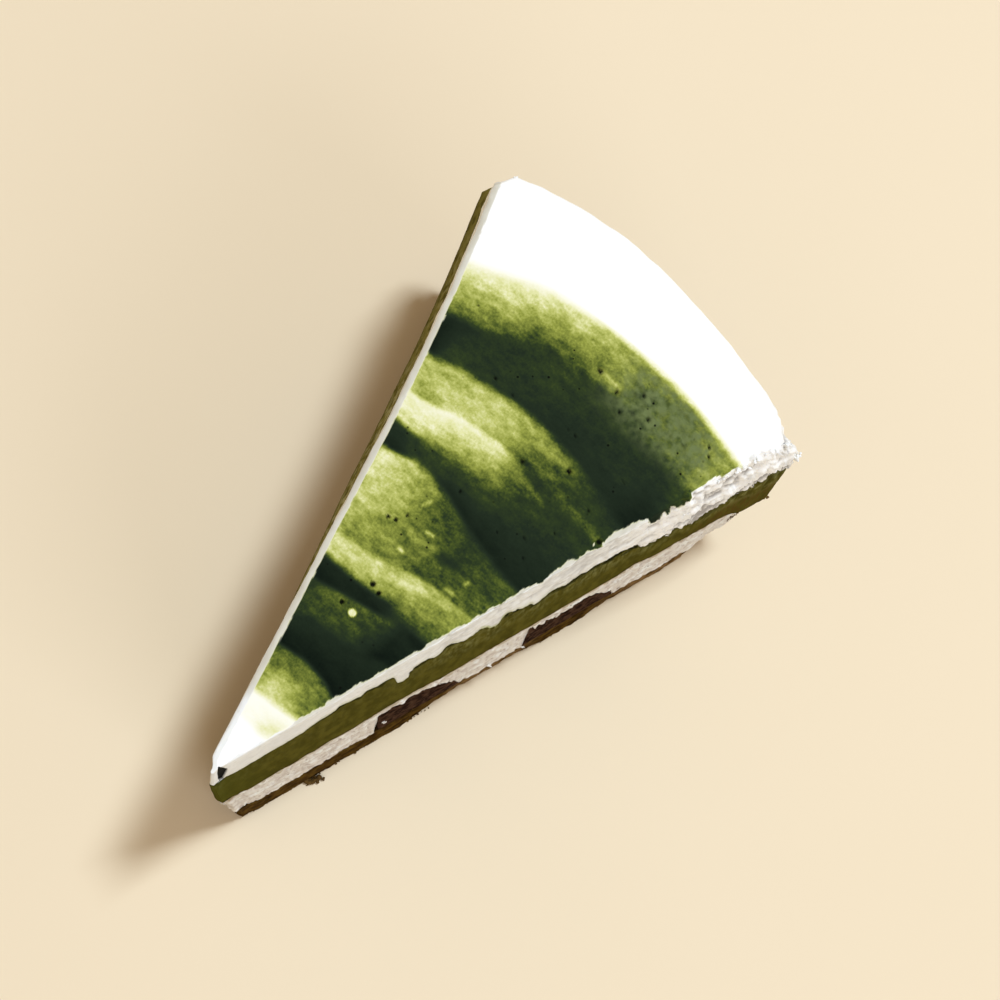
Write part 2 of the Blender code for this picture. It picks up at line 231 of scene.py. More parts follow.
@dataclass(frozen=True)
class SlicePlan:
    """The two cuts, the blunt point and the rim, at any height."""

    point_bulge: float = 0.00035
    cut_start_x: float = 0.00065
    right_start_y: float = -0.00046
    right_slope: float = -0.3037
    right_lean: float = 0.088
    left_start_y: float = 0.00066
    left_slope: float = 0.285
    left_bend_x: float = 0.050
    left_bend_length: float = 0.040
    left_bend: float = 0.0021
    left_lean: float = 0.15
    left_low_lean: float = 0.0029
    left_lean_length: float = 0.055
    corner_flare: float = 0.0008
    corner_flare_x: Span = (0.070, 0.078)
    spread_x: Span = (0.085, 0.089)
    right_tuck_x: Span = (0.0805, 0.0850)
    right_shift_runs: Knots = (
        (0, 1), (29, 1), (34, 0.1), (40, -0.2), (50, -0.2), (54, 0.6), (61, 0.6), (65, 0), (72, 0.1),
        (79, 0.1), (96, 0),
    )
    left_tuck_x: Span = (0.016, 0.050)
    left_trim_share: float = 0.955
    right_trim_share: float = 0.07
    rim_crown: float = 0.0009
    rim_wave: float = 0.0005
    corner_steps: int = 8

    def beyond_point(self, x: Array, plan: Outline) -> Array:
        """How far a cut has left the blunt point, from 0 there to 1 on the straight cut."""
        start = plan.point_x + self.point_bulge
        return ramp(x, start, start + plan.point_length)

    def right_cut_y(self, x: Array, z: float, plan: Outline) -> Array:
        """Side position of the right cut.

        Args:
            x: distance along the slice.
            z: height.
            plan: plan at that height.

        Returns:
            Its Y at each distance.
        """
        lean = self.right_lean * (HEIGHT - max(z, BASE_TOP))
        bulge = plan.flare * self.corner_flare * ramp(x, *self.corner_flare_x)
        bulge = bulge + plan.spread * ramp(x, *self.spread_x)
        bulge = bulge - plan.right_tuck * ramp(x, *self.right_tuck_x)
        bulge = bulge + plan.right_shift * through(x / MM, self.right_shift_runs)
        line = self.right_start_y + self.right_slope * (x - self.cut_start_x) - lean - bulge
        return mix(plan.point_y - plan.point_half_width, line, self.beyond_point(x, plan))

    def left_cut_y(self, x: Array, z: float, plan: Outline) -> Array:
        """Side position of the left cut.

        Args:
            x: distance along the slice.
            z: height.
            plan: plan at that height.

        Returns:
            Its Y at each distance.
        """
        bend = self.left_bend * (np.maximum(0.0, x - self.left_bend_x) / self.left_bend_length) ** 2
        lean = self.left_lean * (HEIGHT - max(z, MATCHA_TOP))
        low_share = 1.0 - (min(z, MATCHA_TOP) / MATCHA_TOP) ** 2
        low_lean = self.left_low_lean * low_share * np.clip(x / self.left_lean_length, 0.0, 1.0)
        lean = lean - plan.left_tuck * ramp(x, *self.left_tuck_x) + plan.left_shift
        line = self.left_start_y + self.left_slope * (x - self.cut_start_x) + bend + lean + low_lean
        return mix(plan.point_y + plan.point_half_width, line, self.beyond_point(x, plan))

    def corner(self, cut: Cut, z: float, plan: Outline, radius: float) -> Array:
        """Point where a cut meets the rim, found by repeated substitution.

        Args:
            cut: one of the two cuts' methods.
            z: height.
            plan: plan at that height.
            radius: the rim's radius there.

        Returns:
            X and Y of the corner.
        """
        x = radius
        for _ in range(self.corner_steps):
            x = math.sqrt(radius ** 2 - float(cut(x, z, plan)) ** 2)
        return np.array([x, float(cut(x, z, plan))])

    def points(self, plan: Outline, z: float, along: Array, across: Array) -> Array:
        """Places in the plan, from a Coons patch of its four edges.

        Args:
            plan: plan at this height.
            z: height.
            along: shares from the point to the rim.
            across: shares from the right cut to the left one.

        Returns:
            X and Y of each place.
        """
        start_x = plan.point_x + self.point_bulge
        right_end = self.corner(self.right_cut_y, z, plan, plan.right_radius)
        left_end = self.corner(self.left_cut_y, z, plan, plan.left_radius)

        def cut_edge(cut: Cut, end: Array, share: Array) -> Array:
            """Points of one cut at shares of its length."""
            x = mix(start_x, end[0], share)
            return np.stack([x, cut(x, z, plan)], axis=-1)

        right_start = cut_edge(self.right_cut_y, right_end, np.array(0.0))
        left_start = cut_edge(self.left_cut_y, left_end, np.array(0.0))
        tip = mix(right_start, left_start, across[..., None])
        tip[..., 0] -= self.point_bulge * hump(across)
        right_angle = math.atan2(right_end[1], right_end[0])
        left_angle = math.atan2(left_end[1], left_end[0])
        angle = mix(right_angle, left_angle, across)
        radius = mix(plan.right_radius + plan.right_trim, plan.left_radius + plan.left_trim, across)
        radius = radius + self.rim_crown * hump(across)
        radius = radius - plan.left_trim * ramp(across, self.left_trim_share, 1.0)
        radius = radius - plan.right_trim * ramp(across, self.right_trim_share, 0.0)
        radius = radius - self.rim_wave * np.sin(2.0 * math.pi * across)
        rim = np.stack([radius * np.cos(angle), radius * np.sin(angle)], axis=-1)
        right = cut_edge(self.right_cut_y, right_end, along)
        left = cut_edge(self.left_cut_y, left_end, along)
        s = along[..., None]
        t = across[..., None]
        ruled = mix(tip, rim, s) + mix(right, left, t)
        corners = mix(mix(right_start, right_end, s), mix(left_start, left_end, s), t)
        return ruled - corners


PLAN = SlicePlan()
BASE_LOW = Outline(
    0.0, -0.0033, 0.0015, 0.0920, 0.0926, right_tuck=0.0025, left_tuck=0.0016, right_shift=0.0007,
    point_length=0.0026)
BASE_HIGH = Outline(
    -0.0001, -0.0028, 0.0013, 0.0934, 0.0940, right_tuck=0.0022, left_tuck=0.0014, right_shift=0.0001,
    point_length=0.0030)
LOWER_LOW = Outline(-0.0006, -0.0025, 0.0013, 0.0940, 0.0948, right_tuck=0.0005, left_tuck=0.0012)
LOWER_HIGH = Outline(-0.0009, -0.0016, 0.0010, 0.0955, 0.0960, flare=0.4, left_tuck=0.0008)
MATCHA_LOW = Outline(-0.0018, -0.0013, 0.0009, 0.0980, 0.0978, flare=0.4, spread=0.0008, left_tuck=0.0004)
MATCHA_HIGH = Outline(
    -0.0020, -0.0004, 0.0005, 0.1006, 0.0988, flare=1.0, right_trim=-0.0024, point_length=0.0038)
MATCHA_SHOULDER = Outline(
    -0.0020, -0.0007, 0.0007, 0.1000, 0.0994, flare=0.85, left_tuck=-0.0006, right_trim=-0.0020)
CREAM_LOW = Outline(
    -0.0020, -0.0004, 0.0004, 0.1000, 0.0980, flare=1.0, left_trim=0.0008, right_trim=-0.0012,
    point_length=0.0036)
CREAM_HIGH = Outline(
    -0.0012, 0.0001, 0.0003, 0.0958, 0.0960, left_trim=0.0022, left_shift=0.00092, right_trim=0.0018,
    point_length=0.0017)
LOWER_STATIONS = ((BASE_TOP, LOWER_LOW), (LOWER_CREAM_TOP, LOWER_HIGH))


class Loft:
    """The plan's places at every height between some stations."""

    STEP = 0.0015

    def __init__(self, stations: Stations) -> None:
        """Keep the stations.

        Args:
            stations: heights with the plan at each, from the lowest up.
        """
        self.heights: list[float] = []
        self.plans: list[Outline] = []
        for (low, plan), (high, after) in zip(stations, stations[1:]):
            steps = max(2, round((high - low) / self.STEP))
            for step in range(steps):
                self.heights.append(mix(low, high, step / steps))
                self.plans.append(plan.towards(after, step / steps))
        self.heights.append(stations[-1][0])
        self.plans.append(stations[-1][1])

    def table(self, along: Array, across: Array) -> Array:
        """X and Y of some shares at all the loft's heights, indexed by height and share."""
        pairs = zip(self.plans, self.heights)
        return np.stack([PLAN.points(plan, height, along, across) for plan, height in pairs])

    def read(self, table: Array, z: Array) -> Array:
        """Places at one height for each share.

        Args:
            table: what table() gave.
            z: the heights.

        Returns:
            X and Y of each place.
        """
        heights = np.array(self.heights)
        cell = np.clip(np.searchsorted(heights, z) - 1, 0, len(heights) - 2)
        share = (z - heights[cell]) / (heights[cell + 1] - heights[cell])
        share = np.clip(share, 0.0, 1.0)[:, None]
        row = np.arange(len(z))
        return mix(table[cell, row], table[cell + 1, row], share)

    def at(self, along: Array, across: Array, z: Array) -> Array:
        """X and Y of some shares, each at its own height."""
        return self.read(self.table(along, across), z)

    def width(self, along: Array, z: Array) -> Array:
        """Distances between the cuts at some shares along the slice, each at its own height."""
        right = self.at(along, np.zeros_like(along), z)
        left = self.at(along, np.ones_like(along), z)
        return np.linalg.norm(left - right, axis=1)


@dataclass(frozen=True)
class Joints:
    """Heights of the joints between the layers.

    The two upper joints have a profile at the right cut, as pairs of a distance from
    the cake's axis and a height, both in millimetres.
    """

    cream_edge: Knots = (
        (-2.1, 44), (-1.4, 41.2), (-0.6, 40.3), (0.7, 42.2), (4, 42), (8, 42.4), (13, 42.9), (14.4, 43.8),
        (16, 44.4), (18, 45.2), (19, 46.3), (20.5, 45.6), (22, 44.5), (23.5, 45.9), (25, 44.6), (27, 45.2),
        (27.5, 44), (27.9, 39.4), (28.5, 37.8), (29.5, 37.8), (30.1, 39.8), (30.5, 42.6), (31.2, 43.2),
        (32.5, 44.4), (34, 42.6), (35, 43), (36.5, 44.4), (38, 43.2), (39, 41.8), (41.8, 42.8),
        (42.6, 41.3), (43.5, 38.4), (44.5, 37.8), (45.3, 41.3), (46.5, 42.5), (48, 41.4), (49.5, 41),
        (50.3, 39.8), (51, 38.2), (52, 39.4), (54, 40.2), (56, 39.8), (57.5, 40.3), (60, 39.8), (62, 40.4),
        (64, 39.5), (66, 38.8), (68, 37.8), (69, 36.2), (70, 33.8), (71, 32.4), (73, 31.6), (74, 33.4),
        (75, 35.6), (76, 35.3), (77, 33.6), (78, 32.6), (80, 32.2), (82, 32.6), (83.5, 34.2), (86.5, 34),
        (88, 34.8), (90, 34), (92, 33.4), (94, 34.2), (96, 33), (98, 32.4),
    )
    matcha_edge: Knots = (
        (-1.9, 24.5), (-0.9, 21), (0.9, 22), (1.6, 23.4), (3, 22.5), (8.5, 23), (10, 22.5), (12.4, 23.4),
        (14, 22.5), (16, 23.4), (18, 22.8), (25, 23.3), (33, 23.1), (36, 22.2), (45, 22), (55, 21.7),
        (65, 21.2), (67, 21.4), (69.3, 22.8), (71, 22), (72.6, 21), (75, 22.2), (76.5, 22.6), (78, 22),
        (83, 21.6), (87, 20.6), (90, 20.2), (96, 19.6),
    )
    reach: float = 0.0034
    wave: float = 0.00015
    wave_length: float = 0.020
    tear: float = 0.00030
    tear_grain: Texture = Texture(0.00085, 3, 11)
    calm_x: Span = (0.002, 0.024)
    calm_share: float = 0.45

    def height(self, x: Array, y: Array, depth: Array, level: float) -> Array:
        """Height of one joint.

        Args:
            x: distance along the slice.
            y: side position.
            depth: distance in from the right cut.
            level: the joint's height without waves.

        Returns:
            The joint's height at each place.
        """
        points = np.stack([x, y, np.full_like(x, level)], axis=-1)
        growth = mix(self.calm_share, 1.0, ramp(x, *self.calm_x))
        torn = self.tear * growth * self.tear_grain.read(points)
        height = level + self.wave * np.sin(x / self.wave_length * 2.0 * math.pi) + torn
        edges = {MATCHA_TOP: self.cream_edge, LOWER_CREAM_TOP: self.matcha_edge}
        if level not in edges:
            return height
        profile = through(x / MM, edges[level]) * MM
        return height + (profile - level) * np.exp(-np.maximum(0.0, depth) / self.reach)


JOINTS = Joints()


@dataclass(frozen=True)
class Crags:
    """Shallow crags, of the same sizes as the solids' deeper ones."""

    size: float = 0.0045
    fine_size: float = 0.0019
    fine_share: float = 0.5
    corner_amount: float = 0.0005
    corner_length: float = 0.010
    calm_x: Span = (0.0, 0.022)
    share: float = 0.4
    seed: int = 1796066814            # without one, Blender draws this noise anew at each start

    def push(self, points: Array, amount: float, corners: tuple[Array, ...]) -> Array:
        """Level shifts of points by the crags.

        Args:
            points: places from the cake's axis, one row each.
            amount: depth of the crags.
            corners: plan corners near which they are deeper.

        Returns:
            The points after the shift.
        """
        depth = np.full(len(points), amount * self.share)
        for corner in corners:
            distance = np.linalg.norm(points[:, :2] - corner, axis=1)
            depth = depth + self.corner_amount * ramp(distance, self.corner_length, 0.0)
        depth = depth * ramp(points[:, 0], *self.calm_x)
        shifted = points.copy()
        noise.seed_set(self.seed)
        for row, place in enumerate(points):
            spot = Vector(place)
            shift = noise.noise_vector(spot / self.size)
            shift = shift + self.fine_share * noise.noise_vector(spot / self.fine_size)
            shifted[row, 0] += depth[row] * shift.x
            shifted[row, 1] += depth[row] * shift.y
        return shifted


CRAGS = Crags()
LOWER_CRAG = 0.00022


class Side(Enum):
    """The four sides of the slice, in their order round its ring."""

    RIGHT = 0
    RIM = 1
    LEFT = 2
    POINT = 3


@dataclass
class Ring:
    """Shares along and across of the points round a layer, and which side each is on."""

    along: Array
    across: Array
    side: Array

    @property
    def turn(self) -> Array:
        """Place of each point round the slice, from 0 to 4."""
        by_side = np.stack([self.along, self.across, 1.0 - self.along, 1.0 - self.across])
        return self.side + by_side[self.side, np.arange(len(self.side))]

    def __len__(self) -> int:
        """Number of points."""
        return len(self.side)


def ring_of(rows: Array, rim: Array, point: Array) -> Ring:
    """Ring round a grid of shares.

    Args:
        rows: shares along the slice.
        rim: shares across at the rim.
        point: shares across at the point.

    Returns:
        The ring, anticlockwise from the right cut's start.
    """
    steps, rim_steps, point_steps = len(rows) - 1, len(rim) - 1, len(point) - 1
    along = np.concatenate([
        rows[:-1], np.full(rim_steps, rows[-1]), rows[:0:-1], np.full(point_steps, rows[0])])
    across = np.concatenate([
        np.full(steps, rim[0]), rim[:-1], np.full(steps, rim[-1]), point[:0:-1]])
    side = np.repeat([member.value for member in Side], (steps, rim_steps, steps, point_steps))
    return Ring(along, across, side)


def round_grid(number: Array) -> list[int]:
    """Vertices round a grid of them, anticlockwise from the right cut's start."""
    return [*number[:-1, 0], *number[-1, :-1], *number[:0:-1, -1], *number[0, :0:-1]]


def quads(number: Array) -> list[tuple]:
    """Faces of a grid of vertices, anticlockwise where rows run to +X and columns to +Y."""
    corners = (number[:-1, :-1], number[1:, :-1], number[1:, 1:], number[:-1, 1:])
    return [tuple(face) for face in np.stack(corners, axis=-1).reshape(-1, len(corners)).tolist()]


def zip_rings(outer: list[int], outer_turn: Array, inner: list[int], inner_turn: Array) -> list[tuple]:
    """Triangles between two rings that run the same way round.

    Args:
        outer: vertices of the outer ring.
        outer_turn: place of each round the slice.
        inner: vertices of the inner ring.
        inner_turn: place of each round the slice.

    Returns:
        Triangles that face up.
    """
    def turn_of(turns: Array, number: int) -> float:
        """Place of a vertex, counted on past the end of its ring."""
        return turns[number] if number < len(turns) else len(Side) + number - len(turns)

    triangles = []
    a, b = 0, 0
    while a < len(outer) or b < len(inner):
        here, there = outer[a % len(outer)], inner[b % len(inner)]
        outer_first = turn_of(outer_turn, a + 1) <= turn_of(inner_turn, b + 1)
        if b >= len(inner) or (a < len(outer) and outer_first):
            a += 1
            triangles.append((here, outer[a % len(outer)], there))
        else:
            b += 1
            triangles.append((here, inner[b % len(inner)], there))
    return triangles


@dataclass
class Skin:
    """One closed piece while it is being built: places, ways out, sides and faces."""

    places: Array
    out: Array
    side: Array
    depth: Array
    on_top: Array
    faces: list[tuple]

    def on(self, side: Side) -> Array:
        """Whether each place is on one side."""
        return self.side == side.value

    def add_level(self, places: Array, depth: Array, faces: list[tuple], upper: bool) -> None:
        """Add an upper or a lower side.

        Args:
            places: the side's own places.
            depth: their distances in from the right cut.
            faces: the side's faces.
            upper: whether the side is the upper one.
        """
        count = len(places)
        way = np.tile((0.0, 0.0, 1.0 if upper else -1.0), (count, 1))
        self.places = np.concatenate([self.places, places])
        self.out = np.concatenate([self.out, way])
        self.side = np.concatenate([self.side, np.full(count, LEVEL_SIDE)])
        self.depth = np.concatenate([self.depth, depth])
        self.on_top = np.concatenate([self.on_top, np.full(count, upper)])
        self.faces = self.faces + faces


@dataclass
class Layout:
    """Where a layer's vertices go: its loft, shares along and across, and the ring round them."""

    loft: Loft
    rows: Array
    columns: Array
    ring: Ring


@dataclass
class LayerSkin:
    """Dense closed skin of one layer. Its kinds say what is special about each."""

    name: str = ""
    material_slot: str = ""
    stations: Stations = ()
    low_level: float = 0.0
    high_level: float = 0.0
    crag: float = 0.00035
    point_rows: int = 34
    middle_rows: int = 400
    rim_rows: int = 60
    point_share: float = 0.045
    rim_share: float = 0.925
    edge_columns: int = 9
    middle_columns: int = 60
    edge_margin: float = 0.0013
    edge_margin_share: float = 0.22
    edge_crowding: float = 1.35
    levels: int = 30
    cap_rows: int = 60
    cap_columns: int = 14
    cap_inset: float = 0.02
    corner_smoothing: int = 4
    grain: Texture = Texture(MM, 1, 0)
    grain_depth: float = 0.0

    def bottom(self, x: Array, y: Array, depth: Array) -> Array:
        """Height of the layer's underside."""
        return JOINTS.height(x, y, depth, self.low_level) + SEAM

    def top(self, x: Array, y: Array, depth: Array) -> Array:
        """Height of the layer's upper side."""
        return JOINTS.height(x, y, depth, self.high_level) - SEAM

    def corners(self) -> tuple[Array, ...]:
        """Plan corners near which the crags are deeper."""
        return ()

    def relief(self, skin: Skin) -> Array:
        """How far each place moves out: the grain of the cut, and nothing on hidden sides."""
        shift = self.grain_depth * self.grain.read(skin.places)
        shift[skin.side == LEVEL_SIDE] = 0.0
        return shift

    def marks(self, skin: Skin) -> dict[str, Array]:
        """Values that the finish reads, by name, besides the relief."""
        return {}

    def carve(self, places: Array) -> Array:
        """Cut the layer's own holes."""
        return places

    def rows(self) -> Array:
        """Shares along the slice, closer together at its point and its rim."""
        start = np.linspace(0.0, self.point_share, self.point_rows, endpoint=False)
        middle = np.linspace(self.point_share, self.rim_share, self.middle_rows, endpoint=False)
        return np.concatenate([start, middle, np.linspace(self.rim_share, 1.0, self.rim_rows + 1)])

    def columns(self, width: Array) -> Array:
        """Shares across, closer together beside the cuts.

        Args:
            width: the slice's width at each row.

        Returns:
            The shares of each row.
        """
        margin = np.minimum(self.edge_margin, width * self.edge_margin_share)[:, None]
        steps = np.linspace(0.0, 1.0, self.edge_columns + 1) ** self.edge_crowding
        right = margin * steps
        left = width[:, None] - right[:, ::-1]
        shares = np.linspace(0.0, 1.0, self.middle_columns + 1)[None, 1:-1]
        middle = mix(margin, width[:, None] - margin, shares)
        return np.concatenate([right, middle, left], axis=1) / width[:, None]

    def cap(self, layout: Layout, edge: list[int], first: int, upper: bool) -> tuple:
        """Coarse hidden side over the whole layer.

        Args:
            layout: where the layer's vertices go.
            edge: the wall's vertices that the side joins.
            first: number of the side's first own vertex.
            upper: whether this is the upper side.

        Returns:
            Places, distances in from the right cut, and faces.
        """
        rows = np.linspace(self.cap_inset, 1.0 - self.cap_inset, self.cap_rows)
        columns = np.linspace(self.cap_inset, 1.0 - self.cap_inset, self.cap_columns)
        along, across = (share.ravel() for share in np.meshgrid(rows, columns, indexing="ij"))
        table = layout.loft.table(along, across)
        level = np.full(len(along), self.high_level if upper else self.low_level)
        plan = layout.loft.read(table, level)
        depth = across * layout.loft.width(along, level)
        height = self.top if upper else self.bottom
        z = height(plan[:, 0], plan[:, 1], depth)
        places = np.column_stack([layout.loft.read(table, z), z])
        number = first + np.arange(len(places)).reshape(len(rows), len(columns))
        inner = ring_of(rows, columns, columns)
        faces = quads(number) + zip_rings(edge, layout.ring.turn, round_grid(number), inner.turn)
        if not upper:
            faces = [face[::-1] for face in faces]
        return places, depth, faces

    def cover(self, layout: Layout, edge: list[int], first: int) -> tuple:
        """Upper side of the layer, hidden unless a kind says otherwise."""
        return self.cap(layout, edge, first, upper=True)

    def ways_out(self, plan: Array) -> Array:
        """Level outward direction at each point of a ring, eased round its corners.

        Args:
            plan: X and Y of the ring's points.

        Returns:
            Unit directions with no rise.
        """
        tangent = np.roll(plan, -1, axis=0) - np.roll(plan, 1, axis=0)
        tangent = tangent / np.linalg.norm(tangent, axis=1)[:, None]
        shifts = range(-self.corner_smoothing, self.corner_smoothing + 1)
        eased = sum(np.roll(tangent, shift, axis=0) for shift in shifts)
        out = np.column_stack([eased[:, 1], -eased[:, 0], np.zeros(len(plan))])
        return out / np.linalg.norm(out, axis=1)[:, None]

    def wall(self, layout: Layout) -> Skin:
        """The layer's wall, level by level.

        Args:
            layout: where the layer's vertices go.

        Returns:
            The wall, still open above and below.
        """
        loft, ring = layout.loft, layout.ring
        table = loft.table(ring.along, ring.across)
        places, outs, depths = [], [], []
        for level in range(self.levels + 1):
            share = level / self.levels
            nominal = np.full(len(ring), mix(self.low_level, self.high_level, share))
            plan = loft.read(table, nominal)
            depth = ring.across * loft.width(ring.along, nominal)
            low = self.bottom(plan[:, 0], plan[:, 1], depth)
            high = self.top(plan[:, 0], plan[:, 1], depth)
            z = mix(low, high, share)
            plan = loft.read(table, z)
            places.append(np.column_stack([plan, z]))
            outs.append(self.ways_out(plan))
            depths.append(depth)
        side = np.tile(ring.side, self.levels + 1)
        number = np.arange(len(side)).reshape(self.levels + 1, len(ring))
        faces = quads(np.column_stack([number, number[:, 0]]).T)
        return Skin(np.concatenate(places), np.concatenate(outs), side, np.concatenate(depths),
                    np.zeros(len(side), bool), faces)

    def skin(self) -> Skin:
        """The layer's closed skin, before its relief."""
        loft = Loft(self.stations)
        rows = self.rows()
        columns = self.columns(loft.width(rows, np.full(len(rows), self.high_level)))
        layout = Layout(loft, rows, columns, ring_of(rows, columns[-1], columns[0]))
        skin = self.wall(layout)
        count = len(layout.ring)
        lowest = list(range(count))
        highest = list(range(self.levels * count, (self.levels + 1) * count))
        skin.add_level(*self.cap(layout, lowest, len(skin.places), upper=False), upper=False)
        skin.add_level(*self.cover(layout, highest, len(skin.places)), upper=True)
        return skin

    def build(self, finish: "Finish") -> Object:
        """Make the layer's piece.

        Args:
            finish: what its surface looks like.

        Returns:
            The piece, with its marks as attributes.
        """
        skin = self.skin()
        skin.places = CRAGS.push(skin.places, self.crag, self.corners())
        relief = self.relief(skin)
        places = self.carve(skin.places + skin.out * relief[:, None])
        piece = new_piece(self.name, places, skin.faces, finish)
        marks = {"relief": relief / MM, **self.marks(skin)}
        for name, values in marks.items():
            attribute = piece.data.attributes.new(name, "FLOAT", "POINT")
            attribute.data.foreach_set("value", values.astype(np.float32))
        return piece


def in_scene(name: str, data: bpy.types.ID) -> Object:
    """New object in the scene, at its origin."""
    made = bpy.data.objects.new(name, data)
    bpy.context.scene.collection.objects.link(made)
    return made


def new_piece(name: str, places: Array, faces: list[tuple], finish: "Finish") -> Object:
    """Smooth mesh object at the slice's origin.

    Args:
        name: the piece's name.
        places: vertices from the cake's axis.
        faces: vertices of each face.
        finish: what its surface looks like.

    Returns:
        The object.
    """
    mesh = bpy.data.meshes.new(name)
    shifted = places + np.array([CAKE_AXIS_X, 0.0, 0.0])
    mesh.from_pydata(shifted.tolist(), [], [tuple(int(v) for v in face) for face in faces])
    mesh.update()
    mesh.shade_smooth()
    mesh.materials.append(finish.material())
    return in_scene(name, mesh)


@dataclass(frozen=True)
class Stroke:
    """One stroke of the marbling, from the one before it out to its own outer edge.

    All knots are pairs of a side position and a value there. The edge's value is a
    distance from the cake's axis, and the two others are densities of matcha.
    """

    edge: Knots
    soft: Knots
    inner: Knots
    outer: Knots


@dataclass(frozen=True)
class Streak:
    """A short lighter or darker line in the marbling."""

    start: Span
    end: Span
    half_width: float
    change: float


